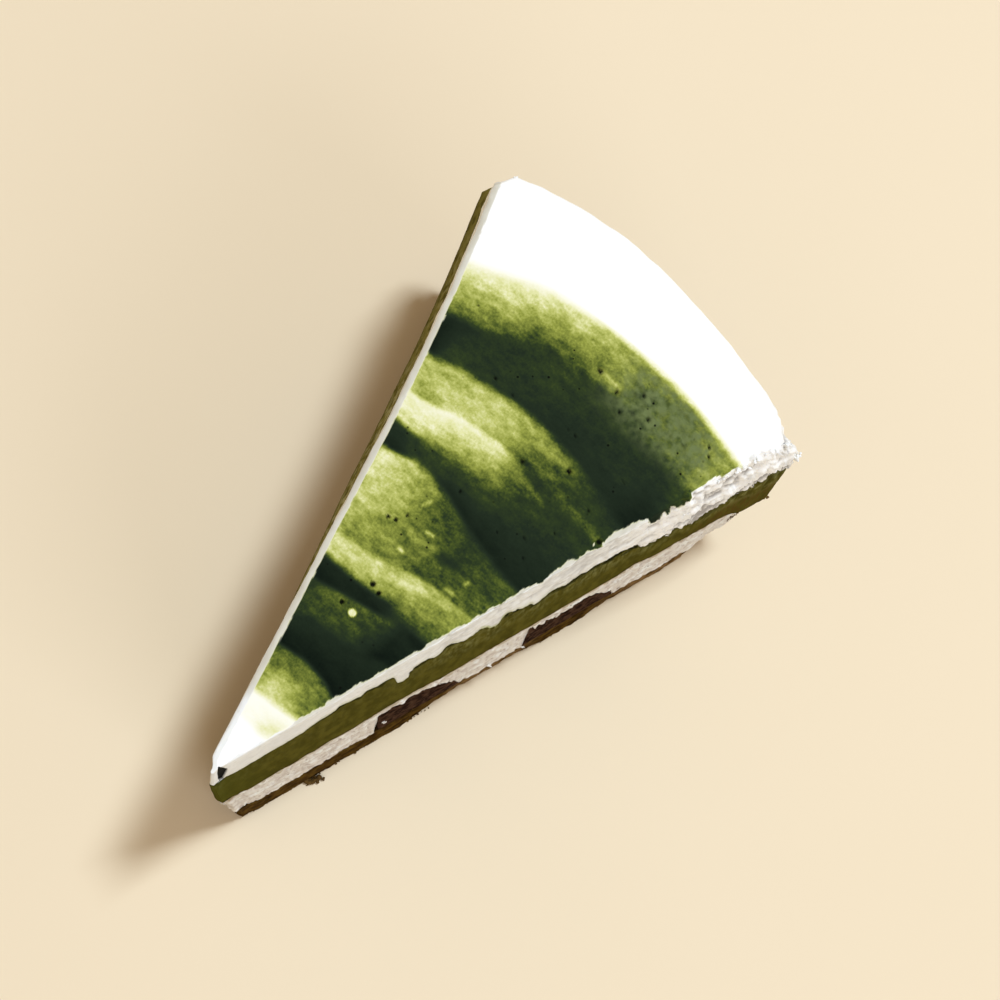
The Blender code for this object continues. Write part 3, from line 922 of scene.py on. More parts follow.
STROKES = (
    Stroke(
        ((0, 7.6),),
        ((0, 1.6),),
        ((0, 0),),
        ((0, 0),)),
    Stroke(
        ((4.5, 11.5), (0, 12), (-3.5, 12.6)),
        ((0, 1.3),),
        ((3, 0.04), (-2, 0.08)),
        ((3, 0.03), (-3, 0.03))),
    Stroke(
        ((5.6, 18.8), (3, 19.2), (1.3, 19.5), (-1, 19.3), (-3, 19), (-5, 18.2)),
        ((0, 1.1),),
        ((4.5, 0.26), (2, 0.2), (-1, 0.3), (-3.5, 0.55)),
        ((5, 0.75), (0, 0.72), (-4, 0.66))),
    Stroke(
        ((8, 23), (5, 24.8), (0, 25.4), (-4, 25.5), (-7, 27)),
        ((0, 1.6),),
        ((0, 1),),
        ((5, 0.87), (-5, 0.91))),
    Stroke(
        ((9.5, 29), (5, 29.9), (0, 31.1), (-4, 32), (-8, 31.5)),
        ((0, 1.1),),
        ((8, 0.79), (3, 0.79), (0, 0.82), (-3, 0.9), (-6, 1)),
        ((8, 0.84), (4, 0.72), (0, 0.74), (-3, 0.78), (-6, 0.92))),
    Stroke(
        ((9.7, 32.9), (4, 33.1), (0, 33.6), (-2, 34.1), (-5, 33.4), (-8, 33), (-10, 33)),
        ((9, 1.5), (0, 1.5), (-5, 1.5)),
        ((8, 1), (4, 0.95), (-1, 0.99), (-4, 0.89), (-8, 0.98)),
        ((8, 0.9), (2, 0.94), (-4, 0.84), (-8, 0.97))),
    Stroke(
        ((11, 36.3), (5, 37.1), (0, 38.6), (-3, 39.6), (-6, 39.9), (-12, 40.2)),
        ((8, 1.2), (-6, 0.9)),
        ((9, 0.39), (5, 0.37), (2, 0.46), (0, 0.49), (-2, 0.53), (-6, 0.74), (-10, 0.76)),
        ((9, 0.21), (5, 0.3), (0, 0.35), (-3, 0.37), (-6, 0.4), (-9, 0.42), (-12, 0.37))),
    Stroke(
        ((14.8, 50.1), (12.5, 50.8), (10.4, 51.5), (8, 51.7), (5.5, 51.5), (2.6, 51.1), (0, 50.4),
         (-3, 49.5), (-6, 48.9), (-10.3, 48.1), (-14.6, 47.6)),
        ((6, 1.6), (0, 1.5), (-5, 1.6)),
        ((11, 0.43), (5, 0.54), (0, 0.62), (-4, 0.69), (-8, 0.69), (-12, 0.68)),
        ((13, 0.22), (10, 0.31), (5, 0.5), (2, 0.68), (-1, 0.76), (-5, 0.8), (-12, 0.78))),
    Stroke(
        ((15.6, 54.5), (12, 54.7), (8, 55.6), (5, 55.9), (0, 56.4), (-3, 57), (-6, 58.3), (-9, 59.4),
         (-12, 60.3)),
        ((13, 1.3), (8, 2.4), (0, 2.2)),
        ((14, 0.96), (9, 0.85), (3, 0.96), (-2, 0.97), (-12, 0.95)),
        ((14, 0.86), (8, 0.76), (3, 0.75), (-12, 0.82))),
    Stroke(
        ((17, 59.1), (14, 59.4), (12, 60.1), (10, 61), (7, 61.5), (4, 61.9), (2, 62.1), (0, 61.8),
         (-3, 61.3), (-5, 60.8), (-7, 60.2), (-9, 59.6), (-12, 60.5)),
        ((14, 1.1), (0, 1.2)),
        ((15, 0.27), (10, 0.39), (5, 0.56), (0, 0.66), (-3, 0.75), (-6, 0.85), (-9, 0.89)),
        ((15, 0.08), (10, 0.06), (5, 0.13), (2, 0.18), (0, 0.36), (-3, 0.56), (-6, 0.58), (-8, 0.6),
         (-10, 0.87))),
    Stroke(
        ((18.6, 64.9), (16.5, 65.6), (14, 66.3), (11, 66.9), (9, 67.3), (6, 67.8), (3.3, 68.2), (0, 68.3),
         (-2, 68.3), (-5, 67.9), (-7.4, 67.7), (-10, 67.2), (-13, 66.7), (-17.4, 65.8), (-20, 65.3)),
        ((14, 1.9), (0, 1.8)),
        ((16, 0.34), (12, 0.32), (8, 0.32), (4, 0.43), (0, 0.59), (-2, 0.75), (-6, 0.83), (-10, 0.84),
         (-18, 0.79)),
        ((17, 0.42), (13, 0.35), (9, 0.34), (5, 0.35), (2, 0.41), (-2, 0.48), (-5, 0.57), (-7, 0.65),
         (-9, 0.73), (-13, 0.82), (-18, 0.89))),
    Stroke(
        ((22, 71.1), (19, 72.4), (16, 73.2), (13, 74.2), (10, 75.6), (5, 77.4), (0, 78.8), (-6, 79),
         (-10, 78.5), (-15, 77.5), (-22, 76.4)),
        ((8, 2.3), (0, 0.8), (-6, 0.9), (-10, 2.8)),
        ((20, 1), (16, 0.81), (12, 0.85), (5, 0.88), (-6, 0.91), (-14, 0.9), (-20, 1)),
        ((20, 0.93), (15, 0.88), (8, 0.81), (0, 0.8), (-10, 0.82), (-18, 0.84), (-22, 0.76))),
    Stroke(
        ((25, 79.5), (23.3, 80.1), (18.3, 82.3), (13.3, 84.3), (8.3, 85.3), (3.3, 86.1), (-1.7, 86.5),
         (-7.4, 86.5), (-13, 86.2), (-18.9, 85.3), (-24.6, 84.1)),
        ((12, 2.6), (0, 1.6), (-6, 2.1)),
        ((22, 0.65), (15, 0.7), (8, 0.84), (4, 0.81), (1, 0.7), (-3, 0.62), (-6, 0.67), (-9, 0.81),
         (-13, 0.67), (-19, 0.67), (-23, 0.52)),
        ((22, 0.07), (15, 0.1), (8, 0.18), (4, 0.23), (0, 0.36), (-5, 0.5), (-10, 0.58), (-16, 0.66),
         (-22, 0.48))),
)
STREAKS = (
    Streak((8.3, -1), (9.4, -2.4), 0.9, 0.08),
    Streak((28.3, 7), (28.2, 3), 0.5, -0.04),
    Streak((27.8, 1), (27.6, -1.5), 0.5, -0.08),
    Streak((30.6, 0), (31.2, -4), 0.45, -0.06),
    Streak((35.3, 9), (35.5, 4), 0.9, -0.04),
    Streak((35.5, 4), (36.9, -1), 0.7, -0.05),
    Streak((36.9, -1), (38.4, -4.5), 0.6, -0.14),
    Streak((43.4, 3), (44, -1.8), 0.5, -0.17),
    Streak((43.8, -2.2), (44.2, -5), 1, 0.13),
    Streak((41.5, 7), (40.5, 9), 1.6, 0.07),
    Streak((60.7, 16.5), (60.9, 13), 0.5, 0.11),
    Streak((63.4, -2.5), (63.8, -8), 0.45, -0.12),
    Streak((62.5, -9), (61.5, -17.3), 0.7, -0.10),
    Streak((66.4, -2), (66.5, -7), 0.7, -0.12),
    Streak((66.2, -8), (66, -13), 0.5, -0.03),
    Streak((80.6, -1.5), (80.6, -5), 0.7, -0.20),
    Streak((82.2, -7.5), (82.4, -9.5), 1.1, 0.14),
    Streak((40.6, 2.6), (40.6, 2.0), 0.30, -0.34),
    Streak((45.1, 1.2), (45.3, 0.2), 0.28, -0.34),
    Streak((40.8, -6.4), (40.9, -7.6), 0.34, -0.30),
    Streak((43.3, -8.0), (43.8, -8.1), 0.30, -0.25),
    Streak((47.6, 4.4), (48.9, 3.8), 0.25, -0.22),
    Streak((50.7, 13.6), (51.5, 10.4), 0.35, 0.14),
    Streak((59.4, 16.4), (60.1, 13.2), 0.45, 0.10),
)


@dataclass(frozen=True)
class Marbling:
    """Density of matcha over the top, in millimetres from the cake's axis."""

    strokes: tuple[Stroke, ...] = STROKES
    streaks: tuple[Streak, ...] = STREAKS
    drops: tuple[tuple[float, float, float, float], ...] = ((29.1, 1.1, 0.62, 0.16),)
    drop_edge: float = 0.14
    meeting: Span = (-0.5, 0.5)       # how far two strokes run into each other, in soft widths

    @staticmethod
    def streak_share(x: Array, y: Array, streak: Streak) -> Array:
        """How much of a streak is at each place.

        Args:
            x: distances from the cake's axis.
            y: side positions.
            streak: the streak.

        Returns:
            1 on its line, falling to 0 beside it.
        """
        (start_x, start_y), (end_x, end_y) = streak.start, streak.end
        step_x, step_y = end_x - start_x, end_y - start_y
        share = ((x - start_x) * step_x + (y - start_y) * step_y) / (step_x ** 2 + step_y ** 2)
        share = np.clip(share, 0.0, 1.0)
        distance = np.hypot(x - start_x - share * step_x, y - start_y - share * step_y)
        return np.exp(-(distance / streak.half_width) ** 2)

    def density(self, x: Array, y: Array) -> Array:
        """Density of matcha.

        Args:
            x: distances from the cake's axis.
            y: side positions.

        Returns:
            0 for bare cream to 1 for the darkest matcha.
        """
        density = np.zeros_like(x)
        before = np.full_like(x, self.strokes[0].edge[0][0])
        before_soft = np.ones_like(x)
        for number, stroke in enumerate(self.strokes):
            edge = through(y, stroke.edge)
            share = np.clip((x - before) / (edge - before), 0.0, 1.0)
            value = mix(through(y, stroke.inner), through(y, stroke.outer), share)
            entered = ramp((x - before) / before_soft, *self.meeting) if number else 1.0
            density = mix(density, value, entered)
            before, before_soft = edge, through(y, stroke.soft)
        density = density * (1.0 - ramp((x - before) / before_soft, *self.meeting))
        for streak in self.streaks:
            density = density + streak.change * self.streak_share(x, y, streak)
        for drop_x, drop_y, radius, value in self.drops:
            distance = np.hypot(x - drop_x, y - drop_y) - radius
            density = mix(density, value, ramp(distance, self.drop_edge, -self.drop_edge))
        return np.clip(density, 0.0, 1.0)


class Wiring:
    """Short calls for building a tree of nodes."""

    def __init__(self, tree: bpy.types.NodeTree) -> None:
        """Keep the tree."""
        self.tree = tree

    def put(self, socket: Socket, value: object) -> None:
        """Link a socket to another, or set its value."""
        if isinstance(value, Socket):
            self.tree.links.new(value, socket)
        else:
            socket.default_value = value

    def node(self, kind: str, *first: object, **rest: object) -> bpy.types.Node:
        """Add a node.

        Args:
            kind: the node's type.
            first: values or sockets for its first inputs, in their order.
            rest: the node's own settings, which have names in lower case, and values or
                sockets for its other inputs, named with _ for a space.

        Returns:
            The node.
        """
        made = self.tree.nodes.new(kind)
        for name, value in rest.items():
            if name.islower():
                setattr(made, name, value)
        for socket, value in zip(made.inputs, first):
            self.put(socket, value)
        for name, value in rest.items():
            if not name.islower():
                self.put(made.inputs[name.replace("_", " ")], value)
        return made


@dataclass(frozen=True)
class Patches:
    """Noise turned into patches, from the least at its low end to the most at its high end."""

    size: float
    detail: float
    low: float
    high: float
    least: float = 0.0
    most: float = 1.0
    stretch: Triple = EVEN


class Bench(Wiring):
    """Short calls for building one material's nodes."""

    def __init__(self, name: str) -> None:
        """Start a material with its shader.

        Args:
            name: the material's name.
        """
        self.made = bpy.data.materials.new(name)
        self.made.use_nodes = True
        super().__init__(self.made.node_tree)
        self.shader = self.tree.nodes["Principled BSDF"]
        self.place = self.node("ShaderNodeTexCoord").outputs["Object"]

    def mark(self, name: str) -> Socket:
        """Value that the piece carries under a name."""
        return self.node("ShaderNodeAttribute", attribute_name=name).outputs["Fac"]

    def noise(self, size: float, detail: float, stretch: Triple = EVEN) -> Socket:
        """Noise round 0.5, with bumps of a size in metres, longer by the stretch on each axis."""
        scale = tuple(1.0 / (size * way) for way in stretch)
        place = self.node("ShaderNodeMapping", Scale=scale, Vector=self.place).outputs["Vector"]
        return self.node("ShaderNodeTexNoise", Scale=1.0, Detail=detail, Vector=place).outputs["Fac"]

    def patches(self, kind: Patches) -> Socket:
        """Patches of one kind."""
        value = self.noise(kind.size, kind.detail, kind.stretch)
        return self.span(value, kind.low, kind.high, kind.least, kind.most)

    def pores(self, size: float) -> Socket:
        """Distance to the nearest of many scattered pores, as a share of their size."""
        return self.node("ShaderNodeTexVoronoi", Scale=1.0 / size, Vector=self.place).outputs["Distance"]

    def math(self, kind: str, first: object, second: object, clamp: bool = False) -> Socket:
        """Sum, product or other operation on two numbers."""
        return self.node("ShaderNodeMath", first, second, operation=kind, use_clamp=clamp).outputs["Value"]

    def times(self, first: object, second: object) -> Socket:
        """Product of two numbers."""
        return self.math("MULTIPLY", first, second)

    def span(self, value: object, low: float, high: float, start: float = 0.0, end: float = 1.0) -> Socket:
        """Value moved from one span to another, low to start and high to end, and kept there."""
        return self.node("ShaderNodeMapRange", Value=value, From_Min=low, From_Max=high,
                         To_Min=start, To_Max=end).outputs["Result"]

    def tones(self, value: object, stops: tuple[tuple[float, Triple], ...]) -> Socket:
        """Colour ramp.

        Args:
            value: where to read the ramp.
            stops: pairs of a position and a colour.

        Returns:
            The colour.
        """
        node = self.node("ShaderNodeValToRGB", value)
        ends = node.color_ramp.elements
        for position, colour in stops[1:-1]:
            ends.new(position).color = (*colour, 1.0)
        for end, (position, colour) in ((ends[0], stops[0]), (ends[len(ends) - 1], stops[-1])):
            end.position = position
            end.color = (*colour, 1.0)
        return node.outputs["Color"]

    def blend(self, share: object, first: object, second: object) -> Socket:
        """Mix of two colours, each a socket or three numbers.

        Args:
            share: how far to go from the first to the second.
            first: colour at share 0.
            second: colour at share 1.

        Returns:
            The mix.
        """
        node = self.node("ShaderNodeMix", share, data_type="RGBA")
        colours = [socket for socket in node.inputs if socket.type == "RGBA"]
        for socket, colour in zip(colours, (first, second)):
            self.put(socket, colour if isinstance(colour, Socket) else (*colour, 1.0))
        return next(socket for socket in node.outputs if socket.type == "RGBA")

    def finish(self, **inputs: object) -> Material:
        """The material, with the shader's inputs set by their names, with _ for a space."""
        for name, value in inputs.items():
            self.put(self.shader.inputs[name.replace("_", " ")], value)
        return self.made


def shown(red: int, green: int, blue: int) -> Triple:
    """Linear colour of a display colour.

    Args:
        red: its red from 0 to 255.
        green: its green from 0 to 255.
        blue: its blue from 0 to 255.

    Returns:
        The linear colour.
    """
    knee, slope, lift, power = 0.04045, 12.92, 0.055, 2.4

    def linear(level: int) -> float:
        """Linear value of one level."""
        share = level / 255.0
        return share / slope if share <= knee else ((share + lift) / (1.0 + lift)) ** power

    return linear(red), linear(green), linear(blue)


@dataclass(frozen=True)
class Finish:
    """What a surface looks like: its sheen, its glow under the surface and its fine grain."""

    roughness: float = 0.9
    gloss: float = 0.0
    glow: float = 0.0
    glow_reach: float = 0.001
    glow_colour: Triple = (1.0, 0.9, 0.7)
    fine_size: float = 0.0005
    fine_detail: float = 3.0
    fine_depth: float = 0.0

    def material(self) -> Material:
        """The finish as a material."""
        raise NotImplementedError

    def close(self, bench: Bench, colour: Socket) -> Material:
        """Complete a material.

        Args:
            bench: the bench that it is built on.
            colour: its colour.

        Returns:
            The material.
        """
        if self.fine_depth:
            grain = bench.noise(self.fine_size, self.fine_detail)
            bump = bench.node("ShaderNodeBump", Height=grain, Distance=self.fine_depth)
            bench.finish(Normal=bump.outputs["Normal"])
        return bench.finish(
            Base_Color=colour, Roughness=self.roughness, Specular_IOR_Level=self.gloss,
            Subsurface_Weight=self.glow, Subsurface_Radius=self.glow_colour,
            Subsurface_Scale=self.glow_reach)


@dataclass(frozen=True)
class TopCreamFinish(Finish):
    """White cream, marbled with matcha on its top and bare on its cuts."""

    roughness: float = 0.5
    gloss: float = 0.004
    glow: float = 0.10
    fine_size: float = 0.0006
    fine_depth: float = 0.00002
    tones: tuple[tuple[float, Triple], ...] = (
        (0.00, shown(250, 250, 247)),
        (0.07, shown(237, 236, 210)),
        (0.19, shown(219, 220, 162)),
        (0.335, shown(184, 189, 106)),
        (0.465, shown(146, 154, 68)),
        (0.585, shown(109, 119, 49)),
        (0.70, shown(72, 85, 35)),
        (0.79, shown(47, 60, 32)),
        (0.88, shown(33, 44, 31)),
        (1.00, shown(14, 22, 16)),
    )
    mottles: tuple[tuple[float, float, Triple, float], ...] = (
        (0.0011, 3.0, (0.8, 1.6, 1.0), 0.44),
        (0.00040, 2.0, EVEN, 0.26),
        (0.0032, 2.0, (0.7, 1.8, 1.0), 0.30),
    )
    mottle_light: Span = (0.03, 0.24)
    mottle_dark: Span = (0.70, 0.90)
    mottle_least: float = 0.14
    # grey-green over the rough patch near the rim: partly painted sheen on its bumps, partly the rough
    # matcha's own greyer tone
    haze_and_sheen: Triple = shown(106, 118, 74)
    haze_patches: Patches = Patches(0.0014, 3.0, 0.38, 0.64, least=0.2)
    haze_density: Span = (0.40, 0.56)
    pinhole_size: float = 0.0017
    pinhole_edge: Span = (0.13, 0.08)
    pinhole_patches: Patches = Patches(0.006, 2.0, 0.50, 0.58)
    pinhole_density: Span = (0.3, 0.6)
    bare: Triple = shown(236, 238, 235)
    # painted light: a whiter cream for the cut wall near the right rim corner, where light falls on it
    painted_light_white: Triple = shown(250, 251, 249)
    # painted shade: a greyer bare cream on the top beside the cuts, where the rounded edge turns from the
    # light
    painted_shade_strip: Triple = shown(210, 207, 193)
    # painted shade in hollows of the cut cream's relief, and also the colour of its random grey flecks
    shade: Triple = shown(176, 174, 172)
    # how sunk the relief must be for the painted shade, from none to full
    hollow: Span = (0.03, -0.30)
    flecks: Patches = Patches(0.0009, 3.0, 0.54, 0.74, most=0.35)
    smear: Triple = shown(170, 176, 112)
    # painted shade: near black inside the round pits, the pinholes and the three-cornered hole
    painted_pit_shade: Triple = shown(12, 14, 10)
    hole_edge: Span = (0.47, 0.52)

    def mottled(self, bench: Bench, density: Socket) -> Socket:
        """Density of matcha with blotches in it, strongest in the middle tones.

        Args:
            bench: the bench that the material is built on.
            density: the density without blotches.

        Returns:
            The density with them.
        """
        mottle = 0.0
        for size, detail, stretch, amount in self.mottles:
            swing = bench.math("SUBTRACT", bench.noise(size, detail, stretch), 0.5)
            mottle = bench.math("ADD", mottle, bench.times(swing, amount))
        dark_side = bench.span(density, *self.mottle_dark, 1.0, self.mottle_least)
        middle = bench.times(bench.span(density, *self.mottle_light), dark_side)
        return bench.math("ADD", density, bench.times(mottle, middle), clamp=True)

    def marbled(self, bench: Bench) -> Socket:
        """Colour of the marbled top, with a grey-green cast that is partly painted sheen, and painted shade
        in its pinholes.

        Args:
            bench: the bench that the material is built on.

        Returns:
            The colour.
        """
        density = bench.mark("matcha")
        colour = bench.tones(self.mottled(bench, density), self.tones)
        # grey-green cast on the rough patch, partly painted sheen
        haze_and_sheen = bench.times(bench.mark("rough"), bench.patches(self.haze_patches))
        haze_and_sheen = bench.times(haze_and_sheen, bench.span(density, *self.haze_density))
        colour = bench.blend(haze_and_sheen, colour, self.haze_and_sheen)
        # painted shade in pinholes of the marbling
        pinhole = bench.span(bench.pores(self.pinhole_size), *self.pinhole_edge)
        pinhole = bench.times(pinhole, bench.patches(self.pinhole_patches))
        return bench.blend(bench.times(pinhole, bench.span(density, *self.pinhole_density)), colour, self.painted_pit_shade)

    def bare_cut(self, bench: Bench) -> Socket:
        """Colour of the bare cream on the cuts and beside them, with painted shade in its hollows and beside
        the cuts, and painted light near the right rim corner.

        Args:
            bench: the bench that the material is built on.

        Returns:
            The colour.
        """
        # painted light: the bare cream turns whiter near the right rim corner
        colour = bench.blend(bench.mark("painted_light_white"), self.bare, self.painted_light_white)
        # painted shade where the relief is sunk, mixed with random grey flecks
        hollow = bench.span(bench.mark("relief"), *self.hollow)
        colour = bench.blend(bench.math("MAXIMUM", hollow, bench.patches(self.flecks)), colour, self.shade)
        colour = bench.blend(bench.mark("smear"), colour, self.smear)
        # painted shade on the bare top cream beside the cuts
        return bench.blend(bench.mark("painted_shade_strip"), colour, self.painted_shade_strip)

    def material(self) -> Material:
        """The finish as a material."""
        bench = Bench("top_cream")
        colour = bench.blend(bench.mark("cut"), self.marbled(bench), self.bare_cut(bench))
        # painted shade in the round pits and in the three-cornered hole
        colour = bench.blend(bench.mark("painted_pit_shade"), colour, self.painted_pit_shade)
        hole = bench.span(bench.mark("hole"), *self.hole_edge)
        return self.close(bench, bench.blend(hole, colour, self.painted_pit_shade))


@dataclass(frozen=True)
class MatchaFinish(Finish):
    """Smooth dense matcha mousse, cut clean."""

    roughness: float = 0.6
    glow: float = 0.04
    glow_reach: float = 0.0008
    glow_colour: Triple = (1.0, 0.9, 0.3)
    fine_size: float = 0.0008
    fine_detail: float = 4.0
    fine_depth: float = 0.00006
    body: Triple = shown(88, 83, 32)
    dark: Triple = shown(72, 68, 24)
    fresh: Triple = shown(76, 76, 26)
    pale: Triple = shown(136, 136, 84)
    brown: Triple = shown(84, 68, 28)
    # near-black colour of the dark line along the matcha's top under the cream, and of its dark foot
    skin: Triple = shown(30, 32, 12)
    # painted light: a lighter, flecked copy of the matcha for its left cut, which faces away from the light
    painted_light_left: Triple = shown(128, 122, 66)
    fleck: Triple = shown(176, 174, 134)
    cloud: Patches = Patches(0.0020, 4.0, 0.38, 0.62, stretch=(0.8, 1.0, 2.2))
    streaks: Patches = Patches(0.0010, 3.0, 0.38, 0.66, stretch=(0.7, 1.0, 3.0))
    pores: Patches = Patches(0.0007, 3.0, 0.60, 0.72, most=0.6)
    flecks: Patches = Patches(0.0012, 3.0, 0.46, 0.58)
    painted_light_left_pores: Patches = Patches(0.0017, 3.0, 0.52, 0.64, most=0.7)

    def material(self) -> Material:
        """The finish as a material."""
        bench = Bench("matcha_layer")
        colour = bench.blend(bench.patches(self.cloud), self.body, self.dark)
        colour = bench.blend(bench.mark("fresh"), colour, self.fresh)
        streaks = bench.patches(self.streaks)
        colour = bench.blend(bench.times(bench.mark("pale"), streaks), colour, self.pale)
        colour = bench.blend(bench.times(bench.mark("brown"), streaks), colour, self.brown)
        colour = bench.blend(bench.patches(self.pores), colour, self.dark)
        colour = bench.blend(bench.mark("skin"), colour, self.skin)
        flecks = bench.times(bench.patches(self.flecks), bench.mark("flecked"))
        # painted light on the left cut: lighter matcha with pale flecks and dark pores
        painted_light_left = bench.blend(flecks, self.painted_light_left, self.fleck)
        painted_light_left = bench.blend(bench.patches(self.painted_light_left_pores), painted_light_left, self.dark)
        return self.close(bench, bench.blend(bench.mark("painted_light_left"), colour, painted_light_left))


@dataclass(frozen=True)
class LowerCreamFinish(Finish):
    """Cream with fine grey and brown flecks, with painted shade in its hollows and on its ledge under the
    matcha.
    """

    roughness: float = 0.65
    glow: float = 0.08
    fine_depth: float = 0.00008
    bare: Triple = shown(220, 215, 206)
    pale: Triple = shown(234, 235, 230)
    # painted shade in hollows of the relief, and also the colour of random grey-pink patches
    shade: Triple = shown(186, 174, 166)
    fleck: Triple = shown(138, 120, 106)
    # painted shade on the lower cream's ledge just under the matcha, where the light would catch it
    lip: Triple = shown(188, 171, 143)
    lumps: Patches = Patches(0.0019, 3.0, 0.50, 0.62)
    # how sunk the relief must be for the painted shade, from none to full
    hollow: Span = (0.03, -0.16)
    cloud: Patches = Patches(0.0016, 4.0, 0.54, 0.68, most=0.8)
    flecks: Patches = Patches(0.0008, 2.0, 0.66, 0.74, most=0.8)

    def material(self) -> Material:
        """The finish as a material."""
        bench = Bench("lower_cream")
        colour = bench.blend(bench.patches(self.lumps), self.bare, self.pale)
        # painted shade where the relief is sunk, mixed with random grey-pink patches
        hollow = bench.span(bench.mark("relief"), *self.hollow)
        colour = bench.blend(bench.math("MAXIMUM", hollow, bench.patches(self.cloud)), colour, self.shade)
        colour = bench.blend(bench.patches(self.flecks), colour, self.fleck)
        # painted shade on the ledge under the matcha
        return self.close(bench, bench.blend(bench.mark("lip"), colour, self.lip))


@dataclass(frozen=True)
class SpongeFinish(Finish):
    """Dark olive-brown sponge with open pores, with painted shade where its relief is sunk."""

    fine_detail: float = 4.0
    fine_depth: float = 0.00015
    body: Triple = shown(92, 70, 28)
    crust: Triple = shown(58, 40, 18)
    # painted shade: near black where the sponge's relief is sunk
    painted_pore_shade: Triple = shown(28, 18, 8)
    pale: Triple = shown(136, 108, 72)
    cloud: Patches = Patches(0.002, 4.0, 0.35, 0.65)
    # how sunk the relief must be for the painted shade, from none to full
    hollow: Span = (0.0, -0.15)
    crumb: Patches = Patches(0.0013, 3.0, 0.36, 0.60, stretch=(1.0, 1.0, 2.0))

    def material(self) -> Material:
        """The finish as a material."""
        bench = Bench("sponge")
        colour = bench.blend(bench.patches(self.cloud), self.body, self.crust)
        # painted shade in the sunk places of the relief
        colour = bench.blend(bench.span(bench.mark("relief"), *self.hollow), colour, self.painted_pore_shade)
        pale = bench.times(bench.mark("pale"), bench.patches(self.crumb))
        return self.close(bench, bench.blend(pale, colour, self.pale))


@dataclass(frozen=True)
class FillingFinish(Finish):
    """Moist dark red-brown filling."""

    roughness: float = 0.7
    fine_size: float = 0.0006
    fine_detail: float = 4.0
    fine_depth: float = 0.00015
    body: Triple = shown(70, 50, 38)
    dark: Triple = shown(38, 24, 18)
    light: Triple = shown(106, 84, 68)
    cloud: Patches = Patches(0.0016, 4.0, 0.42, 0.57)
    grains: Patches = Patches(0.0007, 2.0, 0.54, 0.70, most=0.5)

    def material(self) -> Material:
        """The finish as a material."""
        bench = Bench("filling")
        colour = bench.blend(bench.patches(self.cloud), self.body, self.dark)
        return self.close(bench, bench.blend(bench.patches(self.grains), colour, self.light))


@dataclass(frozen=True)
class FloorFinish(Finish):
    """Plain pale floor."""

    roughness: float = 0.8
    gloss: float = 0.1
    body: Triple = shown(234, 218, 189)
    worn: Triple = shown(232, 216, 186)
    cloud: Patches = Patches(0.05, 2.0, 0.3, 0.7, most=0.3)

    def material(self) -> Material:
        """The finish as a material."""
        bench = Bench("floor")
        return self.close(bench, bench.blend(bench.patches(self.cloud), self.body, self.worn))


